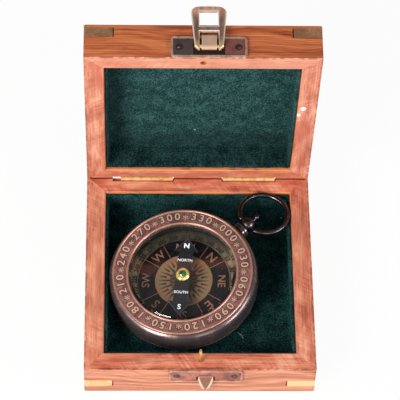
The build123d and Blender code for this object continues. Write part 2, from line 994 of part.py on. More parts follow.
def bow():
    """The wire ring, open where its ends turn in to enter the ball."""
    gap = asin(bow_mouth / 2 / bow_ring_radius)
    start = Plane(
        (bow_offset - bow_ring_radius * cos(gap), -bow_mouth / 2, 0),
        x_dir=(-cos(gap), -sin(gap), 0),
        z_dir=(sin(gap), -cos(gap), 0),
    )
    with BuildPart() as ring:
        with BuildSketch(start):
            Circle(bow_wire_radius)
        revolve(
            axis=Axis((bow_offset, 0, 0), (0, 0, 1)),
            revolution_arc=360 - 2 * degrees(gap),
        )
        for side in (-1, 1):
            with Locations((0, side * bow_mouth / 2, 0)):
                Sphere(bow_wire_radius)
            with Locations((0, side * (bow_mouth / 2 + bow_end_gap) / 2, 0)):
                Cylinder(bow_stub_radius, bow_mouth / 2 - bow_end_gap, rotation=(90, 0, 0))
    return ring


def make_base():
    straps = corner_straps(base_strap_height, strap_length, strap_thickness)
    slots = corner_straps(base_strap_height, strap_length + strap_slot_gap, strap_thickness)
    rebated = (well_width + 2 * board_rebate, well_depth + 2 * board_rebate)
    bottom_board = slab(0, base_board, *rebated)
    leaves = {hand: hinge_leaf(middle, -1) for hand, middle in hinge_middles.items()}
    hinge_nails = leaf_nails(-1)
    catch_nails = latch_nails(catch_middle, catch_width)
    pin = rim_pin()
    pin_place = Location((0, -half_depth + wall / 2, base_height))
    with BuildPart() as pin_socket:
        add(pin.part.moved(pin_place))
    wall_boards(
        "base",
        0,
        base_height,
        base_height,
        [
            bottom_board,
            slots,
            stop_bevel(-1),
            hinge_notches(),
            *leaves.values(),
            hinge_nails,
            catch_nails,
            pin_socket,
        ],
    )
    save(bottom_board, "base_bottom_board")
    save(slab(base_board, floor_top, well_width, well_depth), "base_lining_floor")
    save(lining_walls(floor_top, base_height - base_lining_drop), "base_lining_walls")
    save(straps, "base_corner_straps")
    save(pin, "rim_pin", pin_place)
    save(catch_plate(catch_nails), "catch_plate")
    save(catch_nails, "catch_nails")
    for hand, leaf in leaves.items():
        with BuildPart() as nailed_leaf:
            add(leaf.part)
            add(hinge_nails.part, mode=Mode.SUBTRACT)
        save(nailed_leaf, f"hinge_{hand}_base_leaf")
        save(hinge_pin(hinge_middles[hand]), f"hinge_{hand}_pin")
    save(hinge_nails, "hinge_base_nails")


def make_lid():
    strap_low = lid_top - lid_strap_drop - strap_width
    straps = corner_straps(strap_low, strap_length, strap_thickness)
    slots = corner_straps(strap_low, strap_length + strap_slot_gap, strap_thickness)
    ceiling = lid_top - lid_board
    top_board = slab(ceiling, lid_top, well_width + 2 * board_rebate, well_depth + 2 * board_rebate)
    leaves = {hand: hinge_leaf(middle, 1) for hand, middle in hinge_middles.items()}
    hinge_nails = leaf_nails(1)
    hasp_nails = latch_nails(hasp_plate_middle, hasp_plate_width)
    wall_boards(
        "lid",
        lid_rim,
        lid_top,
        lid_rim,
        [
            top_board,
            slots,
            stop_bevel(1),
            hinge_notches(),
            *leaves.values(),
            hinge_nails,
            hasp_nails,
            rim_hole(),
        ],
        lid_place,
    )
    save(top_board, "lid_top_board", lid_place)
    save(slab(ceiling - lining, ceiling, well_width, well_depth), "lid_lining_panel", lid_place)
    save(lining_walls(lid_rim + lid_lining_drop, ceiling - lining), "lid_lining_walls", lid_place)
    save(straps, "lid_corner_straps", lid_place)
    save(hasp_plate(hasp_nails), "hasp_plate", lid_place)
    save(hasp_nails, "hasp_nails", lid_place)
    save(hasp_loop(), "hasp_loop", lid_place)
    for hand, leaf in leaves.items():
        with BuildPart() as nailed_leaf:
            add(leaf.part)
            add(hinge_nails.part, mode=Mode.SUBTRACT)
        save(nailed_leaf, f"hinge_{hand}_lid_leaf", lid_place)
    save(hinge_nails, "hinge_lid_nails", lid_place)


def make_compass():
    case = compass_case()
    save(case, "compass_case", compass_place)
    save(compass_back(), "compass_back", compass_place)
    save(compass_bezel(), "compass_bezel", compass_place)
    save(compass_glass(), "compass_glass", compass_place)
    save(dial_plate(), "dial_plate", compass_place)
    save(degree_ring(), "degree_ring", compass_place)
    save(pivot_pin(), "pivot_pin", compass_place)
    save(pendant_collar(case), "pendant_collar", compass_place)
    save(pendant_ball(), "pendant_ball", compass_place)
    save(pendant_knob(), "pendant_knob", compass_place)
    save(bow(), "bow", bow_place)
    needle_place = compass_place * Rotation(0, 0, needle_heading)
    save(needle_bar(), "needle_bar", needle_place)
    save(needle_cap(), "needle_cap", needle_place)
    save(needle_hub(), "needle_hub", needle_place)
    save(hub_jewel(), "hub_jewel", needle_place)


os.makedirs("parts", exist_ok=True)
make_base()
make_lid()
make_compass()
print("hinge axis", 0, round(hinge_y, 3), round(hinge_z, 3))
print("hasp pivot, lid closed", latch_offset, -half_depth - pivot_offset, lid_rim + pivot_height)
print("compass centre", [round(value, 3) for value in compass_centre])
print("compass axis", [round(value, 5) for value in face_direction])
print("bow pivot", [round(value, 3) for value in bow_pivot], "bow slope", round(degrees(bow_slope), 2))
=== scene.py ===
# %% [markdown]
# # A pocket compass in its hinged box
# The box is hardwood with brass straps let into its corners, two butt hinges, a hasp and a catch.
# Green velvet lines both halves, and a round bronze compass lies in the lower one. The solids are
# already made to size. Here they get their wood, metal and glass, and what a solid model leaves
# out: the cloth, the raised and printed numbers, and the light.

# %% Load the solids
from math import cos, pi, radians, sin

import bmesh
import bpy
from mathutils import Matrix, Vector, noise


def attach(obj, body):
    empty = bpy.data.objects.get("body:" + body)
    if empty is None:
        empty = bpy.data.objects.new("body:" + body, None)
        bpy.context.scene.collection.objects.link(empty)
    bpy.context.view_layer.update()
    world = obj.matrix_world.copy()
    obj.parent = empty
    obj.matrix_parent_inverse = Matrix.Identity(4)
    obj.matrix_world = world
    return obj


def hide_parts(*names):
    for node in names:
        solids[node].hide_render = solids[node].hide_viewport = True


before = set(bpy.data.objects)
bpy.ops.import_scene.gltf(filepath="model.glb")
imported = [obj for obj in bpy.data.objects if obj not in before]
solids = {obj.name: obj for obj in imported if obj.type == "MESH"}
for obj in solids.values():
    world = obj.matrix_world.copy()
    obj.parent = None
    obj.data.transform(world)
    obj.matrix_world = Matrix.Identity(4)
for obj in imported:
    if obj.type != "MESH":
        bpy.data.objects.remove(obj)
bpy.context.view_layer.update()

# %% [markdown]
# Three things lie at an angle: the open lid, the compass and its needle. Each gets a matrix that
# carries a point from its own plain axes into the box. The same matrix places new pieces, and its
# inverse gives a material millimetres along that piece's own axes, so grain and print line up.

# %% Where the lid, the compass and the needle lie
MM = 0.001
up = Vector((0, 0, 1))


def millimetres(*numbers):
    """A point given in millimetres, in metres."""
    return Vector(numbers) * MM


box_lies = Matrix.Identity(4)
hinge_line = millimetres(0, 50.305, 19.2)
lid_opens = (
    Matrix.Translation(hinge_line)
    @ Matrix.Rotation(radians(-85.2), 4, "X")
    @ Matrix.Translation(-hinge_line)
)
neck_turn, compass_tilt = radians(41.25), radians(7)
ahead = Vector((cos(neck_turn), sin(neck_turn), 0))
along_neck = ahead * cos(compass_tilt) + up * sin(compass_tilt)
out_of_dial = up * cos(compass_tilt) - ahead * sin(compass_tilt)
beside_neck = out_of_dial.cross(along_neck)
compass_axes = Matrix((along_neck, beside_neck, out_of_dial)).transposed().to_4x4()
compass_lies = Matrix.Translation(millimetres(-7.627, -2.499, 22.644)) @ compass_axes
needle_lies = compass_lies @ Matrix.Rotation(radians(41.7), 4, "Z")
print("compass centre", [round(v * 1000, 2) for v in compass_lies.translation])

# %% [markdown]
# Materials are sums: a stain is a noise times a strength, added to a colour's share. Wiring that
# by hand hides the sum, so one small class wraps a socket and lets Python's own operators add the
# Math nodes. A second class makes every other node, for materials and for Geometry Nodes alike.


# %% A socket that can be added and multiplied
class Amount:
    """A number that changes from place to place."""

    def __init__(self, nodes, socket):
        self.nodes, self.socket = nodes, socket

    def __add__(self, other):
        return self.nodes.math("ADD", self, other)

    def __sub__(self, other):
        return self.nodes.math("SUBTRACT", self, other)

    def __rsub__(self, other):
        return self.nodes.math("SUBTRACT", other, self)

    def __mul__(self, other):
        return self.nodes.math("MULTIPLY", self, other)

    def __truediv__(self, other):
        return self.nodes.math("DIVIDE", self, other)

    def __abs__(self):
        return self.nodes.math("ABSOLUTE", self)

    __radd__, __rmul__ = __add__, __mul__

    def out(self, name):
        """Another output of the same node."""
        return Amount(self.nodes, self.socket.node.outputs[name])

    def rises(self, low, high):
        """0 below low, 1 above high and smooth between them; low may be the larger."""
        sockets = {"Value": self, "From Min": low, "From Max": high}
        return self.nodes.node("ShaderNodeMapRange", sockets, interpolation_type="SMOOTHSTEP")


class Nodes:
    """A tree of nodes."""

    def __init__(self, tree):
        self.tree = tree

    def node(self, kind, sockets=None, out=0, **settings):
        made = self.tree.nodes.new(kind)
        for key, value in settings.items():
            if key == "stops":
                ramp = made.color_ramp.elements
                while len(ramp) < len(value):
                    ramp.new(1)
                for stop, (place, colour) in zip(ramp, value):
                    stop.position, stop.color = place, colour
            else:
                setattr(made, key, value)
        for key, value in (sockets or {}).items():
            if isinstance(value, Amount):
                self.tree.links.new(value.socket, made.inputs[key])
            else:
                made.inputs[key].default_value = value
        return Amount(self, made.outputs[out]) if made.outputs else None

    def math(self, operation, *inputs):
        return self.node("ShaderNodeMath", dict(enumerate(inputs)), operation=operation)

    def larger(self, first, second):
        return self.math("MAXIMUM", first, second)

    def apart(self, place):
        """The three numbers of a place."""
        split = self.node("ShaderNodeSeparateXYZ", {0: place})
        return split, split.out("Y"), split.out("Z")

    def joined(self, x=0.0, y=0.0, z=0.0):
        return self.node("ShaderNodeCombineXYZ", {0: x, 1: y, 2: z})


# %% [markdown]
# A recipe holds the nodes of one material, in a finisher's words: a cloud of noise, a blend, stains
# over a colour, a bump. Places are in millimetres along the piece's own axes, however it lies.


# %% A material's recipe
class Recipe(Nodes):
    """The nodes of one material, for a piece that lies by a matrix."""

    def __init__(self, name, lies=box_lies, owner=None):
        self.material = owner or bpy.data.materials.new(name)
        self.material.use_nodes = True
        super().__init__(self.material.node_tree)
        self.tree.nodes.clear()
        if not owner:
            self.plain = self.place(lies)

    def place(self, lies):
        """Millimetres along the axes of a piece that lies by a matrix."""
        back = lies.inverted()
        sockets = {"Vector": self.node("ShaderNodeTexCoord", out="Object")}
        sockets["Location"] = back.to_translation() * 1000
        sockets["Rotation"] = back.to_euler()
        sockets["Scale"] = (1000, 1000, 1000)
        return self.node("ShaderNodeMapping", sockets)

    def mottle(self, cloud_per_mm, speck_per_mm):
        """Large clouds and small specks."""
        clouds = self.cloud(cloud_per_mm, 4.0, 0.6)
        return clouds, self.cloud(speck_per_mm, 3.0, 0.6)

    def axes(self):
        """The place along the piece's own three axes."""
        return self.apart(self.plain)

    def cloud(self, per_mm, detail=2.0, rough=0.5, place=None):
        """Soft noise; per_mm is one number, or one for each axis where it is drawn out."""
        if not isinstance(per_mm, tuple):
            per_mm = (per_mm,) * 3
        spots = {0: place or self.plain, 1: per_mm}
        drawn = self.node("ShaderNodeVectorMath", spots, operation="MULTIPLY")
        sockets = {"Vector": drawn, "Scale": 1.0, "Detail": detail, "Roughness": rough}
        return self.node("ShaderNodeTexNoise", sockets)

    def blend(self, share, first, second):
        return self.node("ShaderNodeMix", {0: share, 6: first, 7: second}, 2, data_type="RGBA")

    def stained(self, skin, *stains):
        """A colour under stains, each a share and the stain's colour."""
        for share, stain in stains:
            skin = self.blend(share, skin, colour(*stain))
        return skin

    def ramp(self, share, *stops):
        return self.node("ShaderNodeValToRGB", {0: share}, stops=stops)

    def bump(self, height, depth_mm, strength=1.0):
        sockets = {"Height": height, "Distance": depth_mm * MM, "Strength": strength}
        return self.node("ShaderNodeBump", sockets)

    def away(self, first, second):
        """How far a spot is from a middle, from its two offsets."""
        flat = {0: self.joined(first, second)}
        return self.node("ShaderNodeVectorMath", flat, "Value", operation="LENGTH")

    def finish(self, shader, output="ShaderNodeOutputMaterial"):
        self.node(output, {"Surface": shader})
        return self.material

    def coated(self, skin, rough, relief=None, metal=0.0, specular=0.5, others=None):
        """The usual surface; relief is a height, its depth in millimetres and its strength."""
        sockets = {"Base Color": skin, "Roughness": rough, "Metallic": metal}
        sockets["Specular IOR Level"] = specular
        if relief:
            sockets["Normal"] = self.bump(*relief)
        sockets.update(others or {})
        return self.finish(self.node("ShaderNodeBsdfPrincipled", sockets))


def colour(red, green, blue):
    """A colour as a paint chart gives it, 0 to 255, made linear for the shader."""
    chart = [value / 255 for value in (red, green, blue)]
    linear = [v / 12.92 if v <= 0.04045 else ((v + 0.055) / 1.055) ** 2.4 for v in chart]
    return (*linear, 1)


def colours(*chart):
    """Several colours, from dark to light."""
    return [colour(*tone) for tone in chart]


def dress(material, *names):
    """Gives solids their finish."""
    for name in names:
        solids[name].material_slots[0].material = material
    print(material.name, "on", len(names), "solids")

# %% [markdown]
# The wood is a reddish hardwood, sawn along the grain and waxed. Its figure is noise drawn out
# along each board: broad bands for the growth, fine lines for the fibre and short dark dashes for
# the open pores. The sanded rims are pinker and paler and show cross ripples where the grain
# turns, so the same recipe is mixed with a rim colour by height. Each board gets its own seed and
# its own direction, which is what makes the mitred corners show.

# %% The wood's figure
rim_heights = {"base": 19.1, "lid": 19.3}
paler_rims = {"lid_front_wood": 0.35, "base_left_wood": 0.25, "base_right_wood": 0.15}
face_tones = {
    "base": colours((142, 76, 52), (192, 120, 88), (212, 142, 108), (232, 168, 134)),
    "lid": colours((104, 42, 22), (184, 94, 54), (208, 118, 70), (230, 148, 96)),
}
rim_tones = {
    "base": colours((158, 70, 52), (206, 114, 86), (228, 142, 110), (246, 178, 144)),
    "lid": colours((170, 94, 72), (194, 116, 90), (214, 140, 112), (236, 172, 144)),
}


def sawn_and_sanded(recipe, name, half, along_y, seed):
    """A board's colour, its fibre and pores, and where its sanded rim is."""
    x, y, z = recipe.axes()
    along, across = (y, x) if along_y else (x, y)
    board = recipe.joined(along + seed * 37.0, across, z)
    sway = recipe.cloud((0.022, 0.055, 0.055), 1.5, place=board)
    ring = recipe.joined(along * 0.01, across * 0.5 + z * 0.42 + sway * 7.0, seed * 3.1)
    bands = recipe.cloud(1.0, 3.0, 0.62, place=ring)
    fibre = recipe.cloud((0.02, 1.9, 1.9), 3.0, 0.6, place=board)
    pores = recipe.cloud((0.13, 4.0, 4.0), 1.0, place=board).rises(0.6, 0.72)
    knots = recipe.cloud((0.02, 0.14, 0.3), 3.0, 0.6, place=board).rises(0.54, 0.7)
    tones = face_tones[half]
    face = recipe.ramp(bands * 0.64 + fibre * 0.5 - 0.07, *zip((0.34, 0.46, 0.56, 0.68), tones))
    face = recipe.blend(knots * 0.65, face, tones[0])

    slant = recipe.joined(along * 0.85 + across * 0.5, across * 0.1, z * 0.1 + seed)
    patchy = recipe.cloud((0.05, 0.12, 0.12), 2.0, place=board).rises(0.42, 0.62)
    ripple = (recipe.cloud(1.0, 2.0, place=slant) - 0.5) * patchy
    blotch = recipe.cloud((0.06, 0.2, 0.2), 4.0, 0.62, place=board)
    worked = blotch * 0.72 + ripple * 0.36 + fibre * 0.28
    tones = rim_tones[half]
    sanded = recipe.ramp(worked, *zip((0.36, 0.46, 0.55, 0.66), tones))
    sanded = recipe.blend(knots * 0.55, sanded, tones[0])
    sanded = recipe.blend(paler_rims.get(name, 0.0), sanded, tones[3])

    rim, into_wood = rim_heights[half], -1 if half == "base" else 1
    on_rim = z.rises(rim + 0.42 * into_wood, rim + 0.2 * into_wood)
    ruddy = recipe.cloud(0.075, 3.0).rises(0.48, 0.66) * on_rim
    stains = (ruddy * 0.3, (196, 92, 62)), (pores * 0.5, (104, 50, 34))
    skin = recipe.stained(recipe.blend(on_rim, face, sanded), *stains)
    return skin, fibre, pores, on_rim

# %% [markdown]
# Then come the marks of use, and painted light and shade, each a mask on place that fades in over
# part of a millimetre. Edges and corners are rubbed brown. The bare wood inside the walls is
# painted dark as painted shade, with an orange line of painted light along its top near the hinges.
# The mitres show as hairlines, the back edges meet in a dark seam, the wood under the latch plates
# is painted dark as painted shade, and two chips are missing from the lid's right rim.

# %% Marks of use, painted shade and painted light on the wood
outer_half, well_half, latch_x = (50.5, 51.0), (42.3, 42.8), 2.4
behind_latch = {"base": 14.0, "lid": 24.5}
rim_chips = ((44.9, -11.1, 1.3, 1.4), (43.2, -5.8, 0.85, 1.15))


def marked(recipe, name, half, skin, on_rim):
    """The board's colour with its marks, its painted shade and its painted light."""
    x, y, z = recipe.axes()
    from_rim = abs(z - rim_heights[half])
    past_x, past_y = abs(x) - outer_half[0], abs(y) - outer_half[1]
    corner = past_x.rises(-0.5, 0.4) * past_y.rises(-0.5, 0.4)
    at_rim = recipe.larger(past_x, past_y).rises(-0.7, 0.25) * from_rim.rises(0.7, 0.2)
    arris = recipe.larger(at_rim, corner) * recipe.cloud(0.4, 2.0).rises(0.36, 0.6)

    past_well = recipe.larger(abs(x) - well_half[0], abs(y) - well_half[1])
    near_rim = from_rim.rises(2.5, 1.5)
    # Painted shade: the bare wood inside the walls, away from the hinges, is painted dark.
    shaded_inner_wood = past_well.rises(0.15, 0.02) * near_rim * y.rises(42.0, 30.0)
    uneven = recipe.cloud(0.1, 2.0) + y.rises(30.0, 43.0) * 0.22
    # Painted light: an orange line along the inner top edge, stronger towards the hinges.
    lit_inner_edge = past_well.rises(0.7, 0.3) * near_rim * uneven.rises(0.58, 0.72)
    stains = (arris * 0.6, (96, 44, 30)), (shaded_inner_wood * 0.8, (84, 44, 34)), (lit_inner_edge * 0.8, (230, 132, 66))
    skin = recipe.stained(skin, *stains)
    mitre = abs(abs(x) - abs(y) + 0.5).rises(0.14, 0.04) * on_rim
    skin = recipe.blend(mitre * 0.4, skin, rim_tones[half][0])
    if name.endswith("back_wood"):
        seam = y.rises(49.75, 50.15) * from_rim.rises(1.5, 0.9)
        skin = recipe.stained(skin, (seam * 0.85, (60, 30, 24)))
    if name.endswith("front_wood"):
        # Painted shade: the wood under each latch plate, seen through its windows, is painted dark.
        painted_shade = abs(x - latch_x).rises(7.5, 6.5) * abs(z - behind_latch[half]).rises(5.2, 4.4)
        skin = recipe.stained(skin, (painted_shade * y.rises(-51.2, -51.4), (44, 28, 24)))
    if name == "lid_right_wood":
        ragged = recipe.cloud(1.6, 2.0) * 0.7 + 0.65
        for chip_x, chip_y, chip_long, chip_wide in rim_chips:
            away = recipe.away((x - chip_x) / chip_long, (y - chip_y) / chip_wide)
            chip = (away * ragged).rises(1.1, 0.9) * on_rim
            skin = recipe.stained(skin, (chip, (255, 246, 240)))
    return skin


def waxed_wood(name, lies, half, along_y, seed):
    """One board of the base or the lid."""
    recipe = Recipe(name, lies)
    skin, fibre, pores, on_rim = sawn_and_sanded(recipe, name, half, along_y, seed)
    skin = marked(recipe, name, half, skin, on_rim)
    relief = (fibre * 0.5 - pores, 0.05, 0.6)
    return recipe.coated(skin, fibre * 0.14 + 0.36, relief, specular=0.42)


sides = {"front": False, "back": False, "left": True, "right": True}
for half, lies in (("base", box_lies), ("lid", lid_opens)):
    for number, (side, along_y) in enumerate(sides.items()):
        seed = number + (1 if half == "base" else 6)
        wood = waxed_wood(f"{half}_{side}_wood", lies, half, along_y, seed)
        dress(wood, f"{half}_wall_{side}")
dress(waxed_wood("bottom_wood", box_lies, "base", False, 11), "base_bottom_board")
dress(waxed_wood("top_wood", lid_opens, "lid", False, 12), "lid_top_board")

# %% [markdown]
# All the metal is copper or brass at different ages, so one recipe makes it: a clean colour where
# hands and edges rub, a darker skin over the rest, and clouds that decide between them. Roughness
# follows the same clouds, because tarnish is duller than the metal under it.


# %% Old metal
def old_metal(
    name, on, clean, dull, lies=box_lies, per_mm=0.35, dulled=0.5, rough=0.3, scratch=0.008,
    metal=0.75,
):
    """Puts a metal on solids; per_mm sets the clouds' size, dulled how much they cover."""
    recipe = Recipe(name, lies)
    clouds, specks = recipe.mottle(per_mm, per_mm * 9)
    tarnish = (clouds * 0.7 + specks * 0.3).rises(0.56 - dulled * 0.3, 0.78 - dulled * 0.3)
    skin = recipe.stained(colour(*clean), (tarnish, dull))
    uneven = tarnish * 0.14 + specks * 0.1 + rough
    dress(recipe.coated(skin, uneven, (specks, scratch, 0.5), metal=metal), *on)


hinges = [name for name in solids if name.startswith("hinge_") and "nails" not in name]
nails = [name for name in solids if name.endswith("nails")]
# Painted light and shade: the lid's straps are the base's brass painted darker, the base's
# brighter.
old_metal(
    "base_strap_brass", ["base_corner_straps"], (255, 218, 160), (240, 186, 124),
    dulled=0.4, per_mm=0.14,
)
old_metal(
    "lid_strap_brass", ["lid_corner_straps"], (188, 138, 98), (144, 104, 76),
    rough=0.42, per_mm=0.08, metal=0.4,
)
old_metal("hinge_brass", hinges, (255, 214, 146), (224, 166, 100), rough=0.28, metal=0.5)
old_metal("pin_brass", ["rim_pin"], (244, 200, 124), (170, 118, 66), rough=0.24)
old_metal("nail_steel", nails, (98, 84, 88), (48, 42, 46), rough=0.35)

# %% [markdown]
# The hasp's plate and the catch are stamped brass gone brown in the sunk middle, while the raised
# border is rubbed bright. The border is a fixed distance from the plate's middle, so a mask on
# place finds it. The tongue of the catch and the curl of the hasp stand out of the plate and are
# rubbed too, which a second mask finds by how far they stand from the wood. Their side edges are
# rubbed and also painted lighter still, as a painted highlight. Each nail sits in a stain of its
# own.


# %% Latch plates
def latch_metal(name, lies, middle, size, sunk_tones, rubbed_tones, tongue):
    """A plate about its middle, size wide and high, with a tongue or a curl that stands out."""
    recipe = Recipe(name, lies)
    half_width, root, taper, middle_tone = tongue
    x, y, z = recipe.axes()
    from_middle, rise = abs(x - middle[0]), z - middle[1]
    clouds, specks = recipe.mottle(0.3, 3.0)
    sideways = from_middle.rises(size[0] / 2 - 1.15, size[0] / 2 - 0.8)
    upright = abs(rise).rises(size[1] / 2 - 1.15, size[1] / 2 - 0.8)
    stands_out = y.rises(-52.32, -52.6)
    rubbed = recipe.larger(recipe.larger(sideways * 0.55, upright), stands_out)
    worn = recipe.blend(clouds.rises(0.35, 0.65), rubbed_tones[0], rubbed_tones[1])
    worn = recipe.blend(specks.rises(0.5, 0.75) * 0.5, worn, rubbed_tones[2])
    from_nail = recipe.away(from_middle - (size[0] / 2 - 3.7), rise)
    patina = recipe.stained(
        recipe.blend(x.rises(middle[0] - 2.0, middle[0] + 6.0), *sunk_tones),
        (clouds.rises(0.45, 0.65) * 0.5, (54, 44, 42)),
        (from_nail.rises(2.0, 1.2) * 0.85, (44, 28, 30)),
    )
    # Painted highlight: the side edges of the tongue and the curl are rubbed and painted lighter
    # still.
    from_side = from_middle + (root - z) * taper
    bright = from_side.rises(half_width - 0.6, half_width - 0.25) * stands_out
    skin = recipe.stained(
        recipe.blend(rubbed, patina, worn),
        (stands_out * 0.8, middle_tone),
        (bright * 0.85, (250, 218, 190)),
    )
    rough = specks * 0.16 + 0.42 - rubbed * 0.16
    return recipe.coated(skin, rough, (specks + clouds, 0.015, 0.5), metal=rubbed * 0.2 + 0.3)


# A tongue is given by half its width, the height of its root, its taper and its colour.
curl_sides = (3.4, 24.5, 0.0, (232, 192, 160))
hook_sides = (3.3, 14.1, 0.405, (134, 96, 82))
hasp_brass = latch_metal(
    "hasp_plate_brass", lid_opens, (latch_x, 24.5), (32.5, 10.4),
    colours((88, 70, 68), (142, 86, 76)),
    colours((238, 206, 182), (186, 148, 122), (120, 90, 76)), curl_sides,
)
catch_brass = latch_metal(
    "catch_plate_brass", box_lies, (latch_x, 14.5), (32.6, 9.2),
    colours((186, 116, 98), (170, 100, 82)),
    colours((226, 180, 150), (190, 126, 104), (140, 90, 76)), hook_sides,
)
dress(hasp_brass, "hasp_plate")
dress(catch_brass, "catch_plate")

# %% [markdown]
# The swinging loop is a thick pressed strip. Its face is a soft pinkish grey and every edge, round
# the outside and round both windows, is rubbed and also painted nearly white as a painted
# highlight.
# The strip's outline is simple enough to write down, so the distance to each edge is worked out
# from place in the loop's own axes.


# %% Hasp loop
def rubbed_loop(pivot_x, pivot_z):
    """The loop's face and its rubbed edges, measured from its pivot in millimetres."""
    recipe = Recipe("hasp_loop_brass", lid_opens)
    x, _, z = recipe.axes()
    across, reach = abs(x - pivot_x), z - pivot_z
    outside = (across - reach * 0.0867).rises(5.45, 5.95)
    end = reach.rises(19.5, 20.0)
    past_bars = across - 4.05
    window = recipe.larger(past_bars, abs(reach - 13.72) - 4.02).rises(0.55, 0.15)
    slot = recipe.larger(past_bars, reach - 7.4).rises(0.55, 0.15)
    edge = recipe.larger(recipe.larger(outside, end), recipe.larger(window, slot))
    clouds, specks = recipe.mottle((0.5, 0.5, 0.16), 3.0)
    patches = clouds.rises(0.38, 0.62)
    legs = recipe.blend(patches, *colours((170, 136, 120), (130, 102, 92)))
    head = recipe.blend(patches, *colours((238, 188, 162), (198, 148, 126)))
    skin = recipe.stained(
        recipe.blend(reach.rises(12.0, 17.5), legs, head),
        # Rubbed wear and painted highlight: every edge of the loop is painted nearly white.
        (edge * specks.rises(0.2, 0.5), (255, 232, 210)),
        (reach.rises(3.5, 0.5) * 0.7, (240, 198, 146)),
    )
    return recipe.coated(skin, specks * 0.12 + 0.3, (specks, 0.004, 0.5), metal=0.5)


dress(rubbed_loop(latch_x, 23.9), "hasp_loop")

# %% [markdown]
# The compass case is bronze, blackened and then polished, so it is nearly black but mirror-like:
# what shows is the shape of the lamps. A little brown comes through where the skin is thin. The lip
# of its back cover is rubbed bright and also carries a thin painted highlight. Inside, the case is
# painted darker still, as painted shade. Distance from the compass's axis tells inside from
# outside.


# %% Compass metals
def black_bronze(name):
    """The blackened case, its lip with a painted highlight and its inside in painted shade."""
    recipe = Recipe(name, compass_lies)
    x, y, z = recipe.axes()
    from_axis = recipe.away(x, y)
    clouds, specks = recipe.mottle(0.22, 2.4)
    thin = (clouds * 0.6 + specks * 0.4).rises(0.5, 0.66)
    # Painted highlight: a thin pale line along the rubbed lip.
    lip_highlight = from_axis.rises(33.1, 33.3) * from_axis.rises(34.4, 34.2)
    lip_highlight = abs(z + 11.2).rises(0.22, 0.08) * lip_highlight
    # Painted shade: the inside of the case is painted darker.
    inside = from_axis.rises(25.6, 25.4) * z.rises(-10.4, -10.2)
    stains = (thin, (150, 120, 104)), (lip_highlight * 0.6, (176, 164, 170)), (inside, (52, 46, 44))
    skin = recipe.stained(colour(112, 98, 100), *stains)
    rough = thin * 0.1 + specks * 0.1 + 0.2 - inside * 0.06
    return recipe.coated(skin, rough, (specks, 0.012, 0.5), metal=0.72)


dress(black_bronze("case_bronze"), "compass_case", "compass_back", "pendant_collar")
old_metal(
    "bow_bronze", ["pendant_ball", "pendant_knob", "bow"], (104, 94, 100), (66, 58, 62),
    compass_lies, rough=0.18, scratch=0.004, metal=1.0,
)


def copper_band(name, on_letters=False):
    """The bezel: copper, darker in the sunk band, and bright on its borders or its letters, rubbed
    and painted as a highlight.
    """
    recipe = Recipe(name, compass_lies)
    z = recipe.axes()[2]
    clouds = recipe.cloud(0.16, 4.0, 0.6)
    specks = recipe.cloud(2.8, 4.0, 0.65)
    grime = recipe.cloud(0.8, 4.0, 0.65)
    # Raised parts are rubbed bright, and their lighter colour is also a painted highlight on their
    # tops.
    if on_letters:
        raised, rubbed, metal = z.rises(-0.16, -0.02), (244, 202, 180), 0.4
    else:
        raised, rubbed, metal = z.rises(-0.2, -0.05), (218, 164, 142), 0.7
    skin = recipe.stained(
        colour(150, 106, 98),
        (clouds.rises(0.36, 0.64), (200, 148, 136)),
        (specks.rises(0.48, 0.7) * 0.6, (92, 58, 56)),
        (grime.rises(0.5, 0.66) * 0.55, (98, 62, 56)),
        (grime.rises(0.48, 0.34) * 0.5, (226, 160, 134)),
        (raised, rubbed),
    )
    rough = specks * 0.3 + 0.3 - raised * 0.1
    return recipe.coated(skin, rough, (specks, 0.05, 0.8), metal=metal)


dress(copper_band("bezel_copper"), "compass_bezel")
letter_copper = copper_band("bezel_number_copper", on_letters=True)

# %% [markdown]
# The crystal is real glass, bent light and all, because its bevelled edge is what catches the
# lamps. Its index is a little low, which keeps its grey veil of reflected light off the dial.
# Glass in a path tracer also blocks lamps, so a Light Path node makes it clear to shadow rays, and
# the dial is lit as it would be. The jewel is green glass over its own foil, and the foil is a
# faint painted glow.

# %% Glass
crystal = Recipe("crystal")
faint_tint = colour(246, 250, 248)
plain_glass = {"Base Color": faint_tint, "Roughness": 0.01, "IOR": 1.4, "Transmission Weight": 1.0}
bending = crystal.node("ShaderNodeBsdfPrincipled", plain_glass)
clear = crystal.node("ShaderNodeBsdfTransparent", {"Color": faint_tint})
shadow_ray = crystal.node("ShaderNodeLightPath", out="Is Shadow Ray")
mixed = crystal.node("ShaderNodeMixShader", {0: shadow_ray, 1: bending, 2: clear})
dress(crystal.finish(mixed), "compass_glass")

jewel = Recipe("green_jewel", needle_lies)
sparkle = jewel.cloud(1.4, 2.0)
stone = jewel.blend(sparkle.rises(0.4, 0.65), *colours((0, 56, 22), (8, 118, 50)))
# Painted glow: the foil shines by a faint emission of its own, though it is no lamp.
foil_glow = jewel.blend(sparkle.rises(0.4, 0.7), *colours((0, 40, 10), (0, 150, 60)))
painted_glow = {"Coat Weight": 1.0, "Emission Color": foil_glow, "Emission Strength": 0.05}
dress(jewel.coated(stone, 0.06, others=painted_glow), "hub_jewel")

# %% [markdown]
# The dial is a black plate with a khaki rose, and a raised khaki ring carries the degrees. Both
# are flat, so their ground is painted by distance from the axis, and the printing is laid on
# afterwards as thin mesh, which stays sharp from close by. The ring is painted darker towards the
# hinges, as painted shade. The needle is painted black and worn at its edges.

